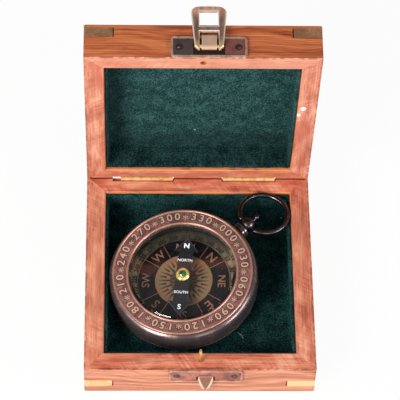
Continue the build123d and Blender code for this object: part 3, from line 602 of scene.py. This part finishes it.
# %% Dial, ring and needle
dial = Recipe("dial_paint", compass_lies)
x, y, _ = dial.axes()
from_axis = dial.away(x, y)
smudge, fleck = dial.mottle(0.3, 3.0)
khaki = dial.stained(
    colour(118, 100, 74),
    (smudge.rises(0.4, 0.6), (140, 92, 66)),
    (fleck.rises(0.5, 0.7) * 0.5, (92, 76, 52)),
)
middle = dial.blend(fleck.rises(0.4, 0.6), *colours((40, 32, 34), (120, 82, 56)))
rose = dial.blend(from_axis.rises(6.2, 6.0), khaki, middle)
black = dial.blend(smudge.rises(0.5, 0.7), *colours((12, 8, 16), (46, 28, 28)))
ground = dial.blend(from_axis.rises(13.05, 12.95), black, rose)
dress(dial.coated(ground, fleck * 0.2 + 0.35, (fleck, 0.02, 0.5), specular=0.2), "dial_plate")

scale = Recipe("degree_ring_paint", compass_lies)
x, y, _ = scale.axes()
from_axis = scale.away(x, y)
smudge = scale.cloud(0.25, 4.0, 0.6)
toward_hinge = scale.apart(scale.place(box_lies))[1]
# Painted shade: the ring is painted darker on its side towards the hinges.
shade_toward_hinge = (toward_hinge + smudge * 8.0).rises(8.0, 24.0)
lines = [abs(from_axis - ring_line).rises(0.2, 0.14) for ring_line in (21.15, 24.7)]
ground = scale.stained(
    colour(134, 114, 86),
    (smudge.rises(0.38, 0.62), (104, 84, 64)),
    (shade_toward_hinge * 0.75, (26, 22, 22)),
    (scale.larger(*lines), (16, 14, 16)),
)
dress(scale.coated(ground, smudge * 0.2 + 0.35), "degree_ring")

old_metal(
    "pivot_steel", ["pivot_pin"], (210, 210, 214), (150, 150, 156), compass_lies, rough=0.15
)
old_metal(
    "hub_brass", ["needle_hub"], (255, 214, 130), (236, 176, 92), needle_lies,
    dulled=0.2, rough=0.12, scratch=0.004,
)

paint = Recipe("needle_paint", needle_lies)
wear = paint.cloud(1.6, 4.0, 0.6)
black = paint.blend(wear.rises(0.55, 0.7), *colours((26, 24, 30), (70, 52, 50)))
dress(paint.coated(black, wear * 0.3 + 0.28, specular=0.25), "needle_bar", "needle_cap")

# %% [markdown]
# Every new piece ends the same way: a mesh goes into an object, the object into the scene, and the
# piece is told its material slot and the body that it moves with. Three functions say that once.


# %% From a mesh to a piece
def as_object(name, data):
    """An object for a mesh, a lamp or a camera, in the scene."""
    made = bpy.data.objects.new(name, data)
    bpy.context.scene.collection.objects.link(made)
    return made


def as_piece(name, shape, material, lies=box_lies):
    """A piece from a bmesh, moved to where it lies."""
    mesh = bpy.data.meshes.new(name)
    shape.to_mesh(mesh)
    shape.free()
    mesh.transform(lies)
    mesh.materials.append(material)
    print(name, len(mesh.polygons), "faces")
    return as_object(name, mesh)


def belongs(piece, body):
    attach(piece, body)


# %% [markdown]
# Ticks round the ring of degrees, the rays of the rose and the lines between the dial's names are
# one pattern: a flat bar, repeated round a circle, sometimes with every few longer. One Geometry
# Nodes tree makes them all. Its inputs are the sizes a dial painter would ask for. The result is
# turned into a plain mesh, laid 0.02 mm above its ground and given to the body it is printed on.


# %% A tree for marks round a circle
class Tree(Nodes):
    """A Geometry Nodes tree, with named inputs."""

    def __init__(self, name, **inputs):
        super().__init__(bpy.data.node_groups.new(name, "GeometryNodeTree"))
        sockets, self.names = self.tree.interface, {}
        sockets.new_socket("Mesh", in_out="INPUT", socket_type="NodeSocketGeometry")
        sockets.new_socket("Mesh", in_out="OUTPUT", socket_type="NodeSocketGeometry")
        for key, kind in inputs.items():
            made = sockets.new_socket(key, in_out="INPUT", socket_type=f"NodeSocket{kind}")
            self.names[key] = made.identifier
        given = self.tree.nodes.new("NodeGroupInput").outputs
        self.given = {key: Amount(self, given[key]) for key in ("Mesh", *inputs)}

    def ends(self, geometry, material):
        real = self.node("GeometryNodeRealizeInstances", {0: geometry})
        real = self.node("GeometryNodeSetMaterial", {"Geometry": real, "Material": material})
        self.node("NodeGroupOutput", {0: real})

    def run(self, name, lies, ground=None, **values):
        """A plain mesh made by the tree, moved to where it lies."""
        holder = as_object(name, ground or bpy.data.meshes.new(name))
        modifier = holder.modifiers.new(name, "NODES")
        modifier.node_group = self.tree
        for key, value in values.items():
            modifier[self.names[key]] = value
        view = bpy.context.evaluated_depsgraph_get()
        mesh = bpy.data.meshes.new_from_object(holder.evaluated_get(view))
        holder.modifiers.remove(modifier)
        holder.data = mesh
        mesh.transform(lies)
        print(name, len(mesh.polygons), "faces")
        return holder


marks = Tree(
    "marks_round_a_circle",
    Count="Int", Radius="Float", Length="Float", Width="Float", Taper="Float",
    Every="Int", Short="Float", Turn="Float", Ink="Material",
)
given = marks.given
size = {"Size X": given["Length"], "Size Y": given["Width"], "Vertices X": 2, "Vertices Y": 2}
bar = marks.node("GeometryNodeMeshGrid", size)
corner_x, corner_y, _ = marks.apart(marks.node("GeometryNodeInputPosition"))
outward = corner_x / given["Length"] + 0.5
narrowed = corner_y * (1.0 - outward * given["Taper"])
tapered = marks.joined(corner_x - given["Length"] * 0.5, narrowed)
bar = marks.node("GeometryNodeSetPosition", {"Geometry": bar, "Position": tapered})
circle = {"Vertices": given["Count"], "Radius": given["Radius"]}
circle = marks.node("GeometryNodeMeshCircle", circle)
index = marks.node("GeometryNodeInputIndex")
angle = index * marks.math("DIVIDE", 2 * pi, given["Count"])
is_short = marks.math("MINIMUM", 1.0, marks.math("MODULO", index, given["Every"]))
stretch = marks.joined(1.0 - is_short * (1.0 - given["Short"]), 1.0, 1.0)
spots = {"Points": circle, "Instance": bar, "Rotation": marks.joined(z=angle), "Scale": stretch}
placed = marks.node("GeometryNodeInstanceOnPoints", spots)
turned = {"Geometry": placed, "Rotation": marks.joined(z=given["Turn"])}
marks.ends(marks.node("GeometryNodeTransform", turned), given["Ink"])

# %% [markdown]
# Each row of the dial's layout is one run of that tree: how deep it lies under the bezel's top, its
# ink, how many marks there are, and their sizes in millimetres and shares.


# %% Ink and marks
def ink(name, first, second, metal=0.0, rough=0.4):
    """Print or worn paint, a little uneven."""
    recipe = Recipe(name, compass_lies)
    patchy = recipe.cloud(2.2, 3.0, 0.6)
    skin = recipe.blend(patchy.rises(0.42, 0.62), first, second)
    return recipe.coated(skin, patchy * 0.2 + rough, metal=metal)


black_ink = ink("black_ink", *colours((10, 8, 12), (34, 26, 26)))
copper_ink = ink("copper_ink", *colours((196, 138, 108), (132, 86, 68)), metal=0.6, rough=0.3)
# Painted shadow: dark ink for the flat copies round the bezel's raised numbers and stars.
bezel_dirt = ink("bezel_dirt", *colours((74, 44, 40), (104, 68, 60)), metal=0.3)
white_ink = ink("white_ink", *colours((244, 244, 246), (206, 206, 212)))
# Painted highlight: the colour of the lit edges of the needle's heads.
silver_edge = ink("silver_edge", *colours((96, 90, 116), (40, 38, 48)), metal=0.4, rough=0.25)


def at_depth(depth, lies=compass_lies):
    """The compass's own axes, this many millimetres below the top of the bezel."""
    return lies @ Matrix.Translation(millimetres(0, 0, -depth))


dial_top, ring_top = 9.98, 9.58
columns = ("Count", "Radius", "Length", "Width", "Taper", "Every", "Short", "Turn")
layout = {
    "degree_ticks": (ring_top, "dial_ring", black_ink, 120, 24.7, 1.25, 0.42, 0.0, 5, 0.7, 0.0),
    "rose_rays": (dial_top, "dial", black_ink, 32, 11.7, 6.0, 1.2, 0.9, 2, 0.62, 0.0),
    "rose_edge": (dial_top, "dial", black_ink, 16, 6.6, 3.0, 1.15, 0.8, 2, 0.75, 0.196),
    "dial_dividers_left": (dial_top, "dial", copper_ink, 4, 20.5, 7.2, 0.3, 0.0, 1, 1.0, 0.2618),
    "dial_dividers_right": (dial_top, "dial", copper_ink, 4, 20.5, 7.2, 0.3, 0.0, 1, 1.0, -0.2618),
}
for name, (depth, slot, inked, *numbers) in layout.items():
    values = dict(zip(columns, numbers))
    for key in ("Radius", "Length", "Width"):
        values[key] *= MM
    belongs(marks.run(name, at_depth(depth), Ink=inked, **values), "compass")

# %% [markdown]
# The names on the dial, the numbers of the ring and the raised numbers of the bezel are words set
# round a circle. Each word becomes a mesh in Blender's own letters, is centred, scaled to its
# height and turned so that its head points outwards. The bezel carries plain bearings, which stand
# out of the sunk band. A flat, bolder, dark copy of each, lower down, is a painted shadow round it.

# %% Words round a circle
capital = 0.73  # the height of Blender's own capitals, as a share of the letters' size


def word_mesh(words, height, relief, bold, wide):
    """One word, centred, its letters this many millimetres high."""
    letters = bpy.data.curves.new(words, "FONT")
    letters.body, letters.resolution_u, letters.offset = words, 4, bold
    letters.extrude = relief / 2 / height * capital
    holder = bpy.data.objects.new(words, letters)
    mesh = bpy.data.meshes.new_from_object(holder)
    bpy.data.objects.remove(holder)
    corners = [v.co for v in mesh.vertices]
    middle_x = (min(c.x for c in corners) + max(c.x for c in corners)) / 2
    middle_y = (min(c.y for c in corners) + max(c.y for c in corners)) / 2
    mesh.transform(Matrix.Translation((-middle_x, -middle_y, 0)))
    size = height / capital * MM
    mesh.transform(Matrix.Diagonal((size * wide, size, size, 1)))
    return mesh


def words_piece(name, spots, lies, height, material, relief, bold, wide):
    """One piece of many words; each spot is words, angle, distance and turn on its own middle."""
    gathered = bmesh.new()
    for words, angle, distance, turn in spots:
        mesh = word_mesh(words, height, relief, bold, wide)
        spin = Matrix.Rotation(radians(angle), 4, "Z")
        out = Matrix.Translation(millimetres(distance, 0, 0))
        mesh.transform(lies @ spin @ out @ Matrix.Rotation(radians(turn), 4, "Z"))
        gathered.from_mesh(mesh)
    return as_piece(name, gathered, material)


cardinals = [(words, -90.0 * number, 17.0, -90) for number, words in enumerate("NESW")]
halves = enumerate(("NE", "SE", "SW", "NW"))
between = [(words, -45.0 - 90 * number, 17.2, -90) for number, words in halves]
degrees_round = [(str(angle), -angle, 22.3, -90) for angle in range(15, 361, 15)]
digit_step = 7.4
bearings = []
for angle in range(0, 360, 30):
    for place, digit in enumerate(f"{angle:03d}"):
        bearings.append((digit, -angle + (1 - place) * digit_step, 28.15, -90))
stars = [("*", -angle - 15.0, 27.6, -90) for angle in range(0, 360, 30)]
needle_ends = [("N", 0, 15.5, -90), ("S", 180, 15.5, 90)]
needle_words = [("NORTH", 0, 8.1, -90), ("SOUTH", 180, 8.1, 90)]

needle_face, flat = 5.49, 0.02
dial_lies, ring_lies = at_depth(dial_top), at_depth(ring_top)
needle_top = at_depth(needle_face, needle_lies)
# The last of these is the ink of the painted shadow round the bezel's raised numbers and stars.
raised, sunk, copper, painted_shade = at_depth(0.15), at_depth(0.235), letter_copper, bezel_dirt
# Each row is a material slot, the words, where they lie, height, ink, relief, boldness and width.
lettering = {
    "dial_names": ("dial", cardinals, dial_lies, 4.2, copper_ink, flat, 0.015, 1.0),
    "dial_half_names": ("dial", between, dial_lies, 3.6, copper_ink, flat, 0.01, 1.0),
    "degree_numbers": ("dial_ring", degrees_round, ring_lies, 1.95, black_ink, flat, 0.055, 1.0),
    "bezel_numbers": ("bezel_copper", bearings, raised, 3.5, copper, 0.2, 0.015, 1.12),
    "bezel_numbers_dirt": ("bezel_copper", bearings, sunk, 3.5, painted_shade, flat, 0.075, 1.12),
    "bezel_stars": ("bezel_copper", stars, raised, 4.2, copper, 0.2, 0.005, 1.0),
    "bezel_stars_dirt": ("bezel_copper", stars, sunk, 4.2, painted_shade, flat, 0.065, 1.0),
    "needle_letters": ("needle_black", needle_ends, needle_top, 2.5, white_ink, flat, 0.025, 1.0),
    "needle_names": ("needle_black", needle_words, needle_top, 1.35, white_ink, flat, 0.01, 1.05),
}
for name, (slot, *how) in lettering.items():
    belongs(words_piece(name, *how), "needle" if slot == "needle_black" else "compass")

# %% [markdown]
# The needle's heads are dark against a dark dial. On the real one only their cut edges catch the
# light, so each head gets a thin strip of painted highlight along its slanted edges.

# %% Painted highlights on the edges of the needle's heads
edges = bmesh.new()
tip, neck, wide = 19.4, 13.0, 5.3
for end in (1, -1):
    for side in (1, -1):
        outline = [(tip, 0.0), (neck, wide), (neck + 0.15, wide - 0.42), (tip - 0.55, 0.0)]
        ring = [edges.verts.new(millimetres(x * end, y * side, -needle_face)) for x, y in outline]
        edges.faces.new(ring if end * side < 0 else ring[::-1])
belongs(as_piece("needle_edge_highlights", edges, silver_edge, needle_lies), "needle")

# %% [markdown]
# The linings are velvet glued over card. Cloth goes round an edge softly and is never quite flat,
# so each lining is a stack of rounded rectangles that follow its section, and a little noise moves
# every point. The new pieces stand for the solid linings, which stay for contact only.

# %% Cloth over a section
noise.seed_set(4)  # without a seed the noise starts from the clock
lining_half = (42.25, 42.76)  # half the width and the depth of the space that the linings fill


def rounded_rectangle(half_width, half_depth, corner, each=26, turn=5):
    """Points round a rectangle with rounded corners, evenly along each side."""
    corner = min(corner, half_width * 0.9, half_depth * 0.9)
    wide, deep = half_width - corner, half_depth - corner
    middles = [(wide, deep), (-wide, deep), (-wide, -deep), (wide, -deep)]
    points = []
    for quarter, middle in enumerate(middles):
        following = middles[(quarter + 1) % 4]
        start, end = quarter * pi / 2, (quarter + 1) * pi / 2
        for step in range(turn):
            bend = start + pi / 2 * step / (turn - 1)
            points.append((middle[0] + corner * cos(bend), middle[1] + corner * sin(bend)))
        for step in range(1, each):
            share = step / each
            along_x = middle[0] + (following[0] - middle[0]) * share
            along_y = middle[1] + (following[1] - middle[1]) * share
            points.append((along_x + corner * cos(end), along_y + corner * sin(end)))
    return points


def cloth_covered(name, section, lies, closed, material, wobble=0.42, corner=1.2):
    """A lining from its section: inset from the wood, height, and how freely the cloth wanders."""
    cloth = bmesh.new()
    rings = []
    for inset, height, loose in section:
        half_width, half_depth = (half - inset for half in lining_half)
        outline = rounded_rectangle(half_width, half_depth, max(corner - inset * 0.3, 0.25))
        sideways = min(inset / 0.6, 1.0)
        ring = []
        for x, y in outline:
            broad = noise.noise_vector(Vector((x * 0.12, y * 0.12, height * 0.16 + 7)))
            fine = noise.noise_vector(Vector((x * 0.45, y * 0.45, height * 0.45)))
            drift = (broad * 0.7 + fine * 0.5) * wobble
            spot = (x + drift.x * sideways, y + drift.y * sideways, height + drift.z * loose)
            ring.append(cloth.verts.new(millimetres(*spot)))
        rings.append(ring)
    pairs = list(zip(rings, rings[1:]))
    if closed:
        pairs.append((rings[-1], rings[0]))
    else:
        cloth.faces.new(rings[0])
        cloth.faces.new(rings[-1])
    for first, second in pairs:
        for number in range(len(first)):
            after = (number + 1) % len(first)
            cloth.faces.new((first[number], first[after], second[after], second[number]))
    bmesh.ops.recalc_face_normals(cloth, faces=cloth.faces)
    piece = as_piece(name, cloth, material, lies)
    piece.data.polygons.foreach_set("use_smooth", [True] * len(piece.data.polygons))
    return piece

# %% [markdown]
# Velvet has a colour for each way its pile leans, so a ramp over three sizes of noise makes it.
# The lid's velvet is painted darker by the hinges and down the left, as painted shade. The nap is a
# bump and a little sheen.


# %% Velvet
def crushed(recipe, lies):
    """Painted shade on the lid's velvet, by the hinges and down the left; none on the base's."""
    if lies is not lid_opens:
        return 0.0
    x, y, _ = recipe.axes()
    patches = recipe.cloud(0.12, 3.0, 0.6) * 16.0
    # Painted shade: darker by the hinges and down the left of the lid.
    low = (y + patches).rises(26.0, 46.0) * 0.5
    return recipe.larger(low, (patches - x).rises(34.0, 50.0) * 0.45)


def sheen(weight, rough, tint):
    return {"Sheen Weight": weight, "Sheen Roughness": rough, "Sheen Tint": colour(*tint)}


def velvet(name, lies, tones):
    """The cloth under the pile."""
    recipe = Recipe(name, lies)
    nap = recipe.cloud(1.5, 3.0, 0.7)
    brushed = recipe.cloud(0.16, 4.0, 0.6)
    threads = recipe.cloud(4.5, 2.0, 0.6)
    shade = nap * 0.62 + brushed * 0.28 + threads * 0.28 - 0.08
    cloth = recipe.ramp(shade, *zip((0.4, 0.5, 0.6), tones))
    cloth = recipe.stained(cloth, (crushed(recipe, lies), (0, 10, 13)))
    relief, shine = (nap + threads * 0.5, 0.3, 0.9), sheen(0.25, 0.4, (120, 180, 178))
    return recipe.coated(cloth, 0.95, relief, specular=0.1, others=shine)


# Painted shade: the base's velvet is the lid's cloth painted about a quarter darker, for its deeper
# well.
shaded_base_tones = colours((0, 10, 14), (10, 40, 42), (46, 96, 92))
lid_tones = colours((0, 12, 16), (17, 52, 53), (66, 112, 108))
base_velvet = velvet("base_velvet", box_lies, shaded_base_tones)
lid_velvet = velvet("lid_velvet", lid_opens, lid_tones)

# %% [markdown]
# A section is a list of rows, each an inset from the wood, a height and how loose the cloth is
# there. The walls' section goes up the wood and down the inside. The panels' starts in the middle
# of the hidden side, turns round the edge, where the cloth bunches up a little, and ends in the
# middle of the face.


# %% The four linings
def section_of_walls(foot, rim, thick=1.22):
    """Up the wood, over a soft edge and down the inside, from the foot to the rim."""
    way = 1 if rim > foot else -1
    rows = [(0.0, foot + (rim - foot) * step / 6, step / 6) for step in range(6)]
    soft = [(0.0, 0.12), (0.12, 0.0), (0.35, -0.02), (0.7, 0.02), (1.0, 0.2), (thick, 0.6)]
    rows += [(inset, rim - way * below, 1.0) for inset, below in soft]
    shoulder = rim - way * 0.6
    rows += [(thick, shoulder + (foot - shoulder) * step / 7, 1 - step / 7) for step in range(1, 8)]
    return rows


def section_of_panel(back, front):
    """A thin cushioned board, from its hidden side round its edge to the middle of its face."""
    way = 1 if front > back else -1
    rows = [(inset, back, 0.0) for inset in (41.0, 30.0, 15.0, 1.5, 0.0)]
    rows += [(0.0, front - way * 0.3, 0.1), (0.15, front, 0.3)]
    turned_up = ((0.9, 0.8), (1.4, 0.75), (1.8, 0.4), (2.3, 0.16), (3.0, 0.03))
    rows += [(inset, front + way * lift, 0.45) for inset, lift in turned_up]
    insets = (4, 6, 8, 11, 14, 17, 20, 24, 28, 32, 36, 39, 41.4)
    return rows + [(inset, front, 0.45) for inset in insets]


base_floor, lid_panel = section_of_panel(4.65, 5.85), section_of_panel(32.95, 31.75)
base_walls, lid_walls = section_of_walls(5.7, 17.85), section_of_walls(31.9, 20.7)
linings = {
    "base_lining_floor": (base_floor, box_lies, False, base_velvet),
    "base_lining_walls": (base_walls, box_lies, True, base_velvet),
    "lid_lining_panel": (lid_panel, lid_opens, False, lid_velvet),
    "lid_lining_walls": (lid_walls, lid_opens, True, lid_velvet),
}
velvet_pieces = {}
for lining, how in linings.items():
    piece = cloth_covered(lining.replace("lining", "velvet"), *how)
    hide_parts(lining)
    belongs(piece, lining.split("_")[0])
    velvet_pieces[lining] = piece

# %% [markdown]
# Velvet is a lawn of short fibres, and where they lean a different way it shows a lighter speck.
# A Geometry Nodes tree scatters small three-sided fibres over a lining, each leaning its own way
# by a fixed seed. There are far fewer than in real cloth: the material gives the fine nap, and
# these give the broken edge and the specks.

# %% Pile
pile = Tree(
    "fibres_on_cloth",
    Thickly="Float", Length="Float", Width="Float", Lean="Float", Seed="Int", Fibre="Material",
)
given = pile.given
sown = {"Mesh": given["Mesh"], "Density": given["Thickly"], "Seed": given["Seed"]}
spread = pile.node("GeometryNodeDistributePointsOnFaces", sown)
any_way = 3.1  # radians: a fibre may turn to face any way
other_way = given["Lean"] * -1.0
least = pile.joined(other_way, other_way, -any_way)
most = pile.joined(given["Lean"], given["Lean"], any_way)
between = {0: least, 1: most, "Seed": given["Seed"]}
lean_by = pile.node("FunctionNodeRandomValue", between, data_type="FLOAT_VECTOR")
upright = {0: spread.out("Rotation"), 1: lean_by}
leaning = pile.node("FunctionNodeRotateRotation", upright, rotation_space="LOCAL")
cone = {"Vertices": 3, "Radius Bottom": given["Width"] * 0.5, "Depth": given["Length"]}
fibre = pile.node("GeometryNodeMeshCone", cone, fill_type="NONE")
lengths = {2: 0.5, 3: 1.2, "Seed": given["Seed"]}
longer = pile.node("FunctionNodeRandomValue", lengths, 1, data_type="FLOAT")
stand = {"Points": spread, "Instance": fibre, "Rotation": leaning, "Scale": longer}
pile.ends(pile.node("GeometryNodeInstanceOnPoints", stand), given["Fibre"])

# %% [markdown]
# Fibres grow only on the faces that can be seen. A copy of each lining loses the faces against the
# wood and the back of its panel, and the tree runs on what is left.


# %% Pile on the linings
def fibre_cloth(name, lies, dark, light):
    """The fibres' colour, in patches, with the lid's painted shade."""
    recipe = Recipe(name, lies)
    patches = recipe.cloud(1.9, 3.0, 0.7)
    skin = recipe.blend(patches.rises(0.47, 0.63), dark, light)
    skin = recipe.blend(crushed(recipe, lies), skin, dark)
    return recipe.coated(skin, 0.9, specular=0.15, others=sheen(0.3, 0.35, (150, 200, 200)))


def shown(lining, lies, back_height):
    """A copy of a lining's mesh without its hidden faces."""
    ground = velvet_pieces[lining].data.copy()
    trimmed = bmesh.new()
    trimmed.from_mesh(ground)
    upright = lies.inverted()
    hidden = []
    for face in trimmed.faces:
        middle = upright @ face.calc_center_median() * 1000
        near_wood = max(abs(middle.x) - lining_half[0], abs(middle.y) - lining_half[1]) > -0.3
        level = abs((upright.to_3x3() @ face.normal).z) > 0.5
        if near_wood or (level and abs(middle.z - back_height) < 0.3):
            hidden.append(face)
    bmesh.ops.delete(trimmed, geom=hidden, context="FACES")
    trimmed.to_mesh(ground)
    return ground


# Painted shade: the base's fibres are painted darker than the lid's, as the base's velvet is.
base_fibre = fibre_cloth("base_pile", box_lies, *colours((2, 20, 22), (54, 108, 102)))
lid_fibre = fibre_cloth("lid_pile", lid_opens, *colours((4, 24, 27), (82, 132, 126)))
panel_backs = {"base": 4.65, "lid": 32.95}
piles = {
    "base_lining_floor": ("base_pile_floor", 3.2, 11),
    "base_lining_walls": ("base_pile_walls", 2.6, 12),
    "lid_lining_panel": ("lid_pile_panel", 3.6, 13),
    "lid_lining_walls": ("lid_pile_walls", 2.6, 14),
}
for lining, (name, per_square_mm, seed) in piles.items():
    body = lining.split("_")[0]
    lies, cloth = (box_lies, base_fibre) if body == "base" else (lid_opens, lid_fibre)
    piece = pile.run(
        name, box_lies, shown(lining, lies, panel_backs[body]), Thickly=per_square_mm * 1e6,
        Length=0.55 * MM, Width=0.22 * MM, Lean=0.95, Seed=seed, Fibre=cloth,
    )
    belongs(piece, body)

# %% [markdown]
# Velvet holds every bit of fluff. A few threads and crumbs lie on it, each a short bent tube of its
# own colour, thick enough to be seen at arm's length. They are plain curves turned into meshes.


# %% Lint
def fluff(name, lies, tint, thick, *points):
    """A short thread through points in millimetres."""
    line = bpy.data.curves.new(name, "CURVE")
    line.dimensions, line.bevel_depth, line.bevel_resolution = "3D", thick / 2 * MM, 2
    line.use_fill_caps = True
    run = line.splines.new("NURBS")
    run.points.add(len(points) - 1)
    for point, place in zip(run.points, points):
        point.co = (*millimetres(*place), 1)
    run.order_u, run.use_endpoint_u = 3, True
    holder = bpy.data.objects.new(name, line)
    mesh = bpy.data.meshes.new_from_object(holder)
    bpy.data.objects.remove(holder)
    mesh.name = name
    mesh.transform(lies)
    mesh.materials.clear()
    darker = tuple(part * 0.7 for part in tint[:3]) + (1,)
    mesh.materials.append(ink(f"{name}_fibre", tint, darker, rough=0.7))
    belongs(as_object(name, mesh), "base" if lies == box_lies else "lid")


pale, ruddy, straw, dusty = colours(
    (226, 230, 226), (150, 84, 68), (140, 134, 100), (176, 176, 150)
)
# Each row is where the thread lies, its colour, how thick it is and its points.
bits = {
    "lid_crumb": (
        lid_opens, pale, 0.42, (-2.0, 26.8, 31.55), (-1.8, 27.0, 31.4), (-1.6, 26.9, 31.55)
    ),
    "lid_red_fluff": (
        lid_opens, ruddy, 0.26, (1.8, -11.5, 31.6), (2.2, -11.2, 31.35), (2.8, -11.3, 31.6)
    ),
    "lid_straw_fluff": (
        lid_opens, straw, 0.24, (-32.7, -6.2, 31.6), (-32.2, -5.8, 31.35), (-31.6, -6.0, 31.6)
    ),
    "lid_small_fluff": (
        lid_opens, straw, 0.2, (-15.2, 9.5, 31.6), (-14.8, 10.2, 31.35), (-14.2, 10.0, 31.6)
    ),
    "base_thread": (
        box_lies, dusty, 0.24,
        (17.5, -24.3, 6.0), (18.2, -25.5, 6.2), (19.3, -26.3, 6.25), (19.9, -28.0, 6.0),
    ),
    "base_crumb": (box_lies, pale, 0.4, (38.6, 37.6, 6.0), (38.8, 37.7, 6.15), (39.0, 37.5, 6.0)),
}
for name, how in bits.items():
    fluff(name, *how)
print(len(bits), "bits of lint")

# %% [markdown]
# The object is photographed on white paper in soft daylight. The floor is a pale sheet. For the
# camera most of it is plain white, and the rest is lit, which keeps the box's shadow. The sky is
# white for the camera only. It lights the box dimly, because the metal and the glass mirror it.

# %% Floor and backdrop
paper = Recipe("white_paper")
ray = paper.node("ShaderNodeLightPath", out="Is Camera Ray")
seen = paper.larger(paper.larger(ray, ray.out("Is Glossy Ray")), ray.out("Is Transmission Ray"))
lit = paper.node("ShaderNodeBsdfDiffuse", {"Color": (0.9, 0.9, 0.9, 1)})
glow = paper.node("ShaderNodeEmission", {"Color": (1, 1, 1, 1), "Strength": 1.0})
paper.finish(paper.node("ShaderNodeMixShader", {0: seen * 0.94, 1: lit, 2: glow}))
sheet = bmesh.new()
half_sheet, just_under = 2.5, -0.0003
square = ((-1, -1), (1, -1), (1, 1), (-1, 1))
corners = [(x * half_sheet, y * half_sheet, just_under) for x, y in square]
sheet.faces.new([sheet.verts.new(corner) for corner in corners])
as_piece("paper", sheet, paper.material)

world = bpy.data.worlds.new("daylight")
bpy.context.scene.world = world
air = Recipe("daylight", owner=world)
ray = air.node("ShaderNodeLightPath", out="Is Camera Ray")
dim_sky = 0.24
daylight = {"Color": (1, 1, 1, 1), "Strength": air.larger(ray, dim_sky)}
air.finish(air.node("ShaderNodeBackground", daylight), "ShaderNodeOutputWorld")

# %% [markdown]
# The window is on the left and low, which throws the left walls' shadow over the velvet. A strip
# on the left and two cards on the right draw the pale bars on the rounded bronze, and a last card
# fills the front. Each lamp is a square that looks at the box; its size is in metres.

# %% Lamps
lamps = {
    "window": ((-0.52, -0.58, 0.48), 0.32, 7.4, (1.0, 0.985, 0.96)),
    "left_strip": ((-0.74, -0.22, 0.50), 0.15, 1.3, (0.97, 0.96, 1.0)),
    "front_card": ((0.25, -0.72, 0.36), 0.3, 0.8, (1.0, 0.99, 0.98)),
    "right_card": ((0.74, -0.18, 0.34), 0.2, 1.5, (0.96, 0.96, 1.0)),
    "corner_card": ((0.66, -0.42, 0.37), 0.12, 2.0, (0.94, 0.93, 1.0)),
}
aim_at = Vector((0, 0, 0.03))
for name, (place, size, watts, tint) in lamps.items():
    light = bpy.data.lights.new(name, "AREA")
    light.size, light.energy, light.color = size, watts, tint
    lamp = as_object(name, light)
    lamp.location = place
    gaze = aim_at - Vector(place)
    lamp.rotation_euler = gaze.to_track_quat("-Z", "Y").to_euler()
    print(name, "is", round(gaze.length, 2), "m away")

# %% [markdown]
# The camera stands high and far off with a long lens, so the box keeps nearly parallel sides. Its
# place, its lean and its lens were worked out from the corners of the box.

# %% Camera
sensor, focal_share = 36.0, 2306 / 400  # the focal length as a share of the picture's width
lens = bpy.data.cameras.new("camera")
lens.sensor_width, lens.lens, lens.clip_start = sensor, focal_share * sensor, 0.05
camera = as_object("camera", lens)
swing, drop, lean = radians(-2.76), radians(90 - 55.58), radians(2.5)
turn = Matrix.Rotation(swing, 4, "Z") @ Matrix.Rotation(drop, 4, "X")
turn = turn @ Matrix.Rotation(lean, 4, "Z")
camera.matrix_world = Matrix.Translation(millimetres(-27.9, -559.4, 892.6)) @ turn
bpy.context.scene.camera = camera
bpy.context.scene.view_settings.view_transform = "Standard"
print("lens", round(lens.lens, 1), "mm")
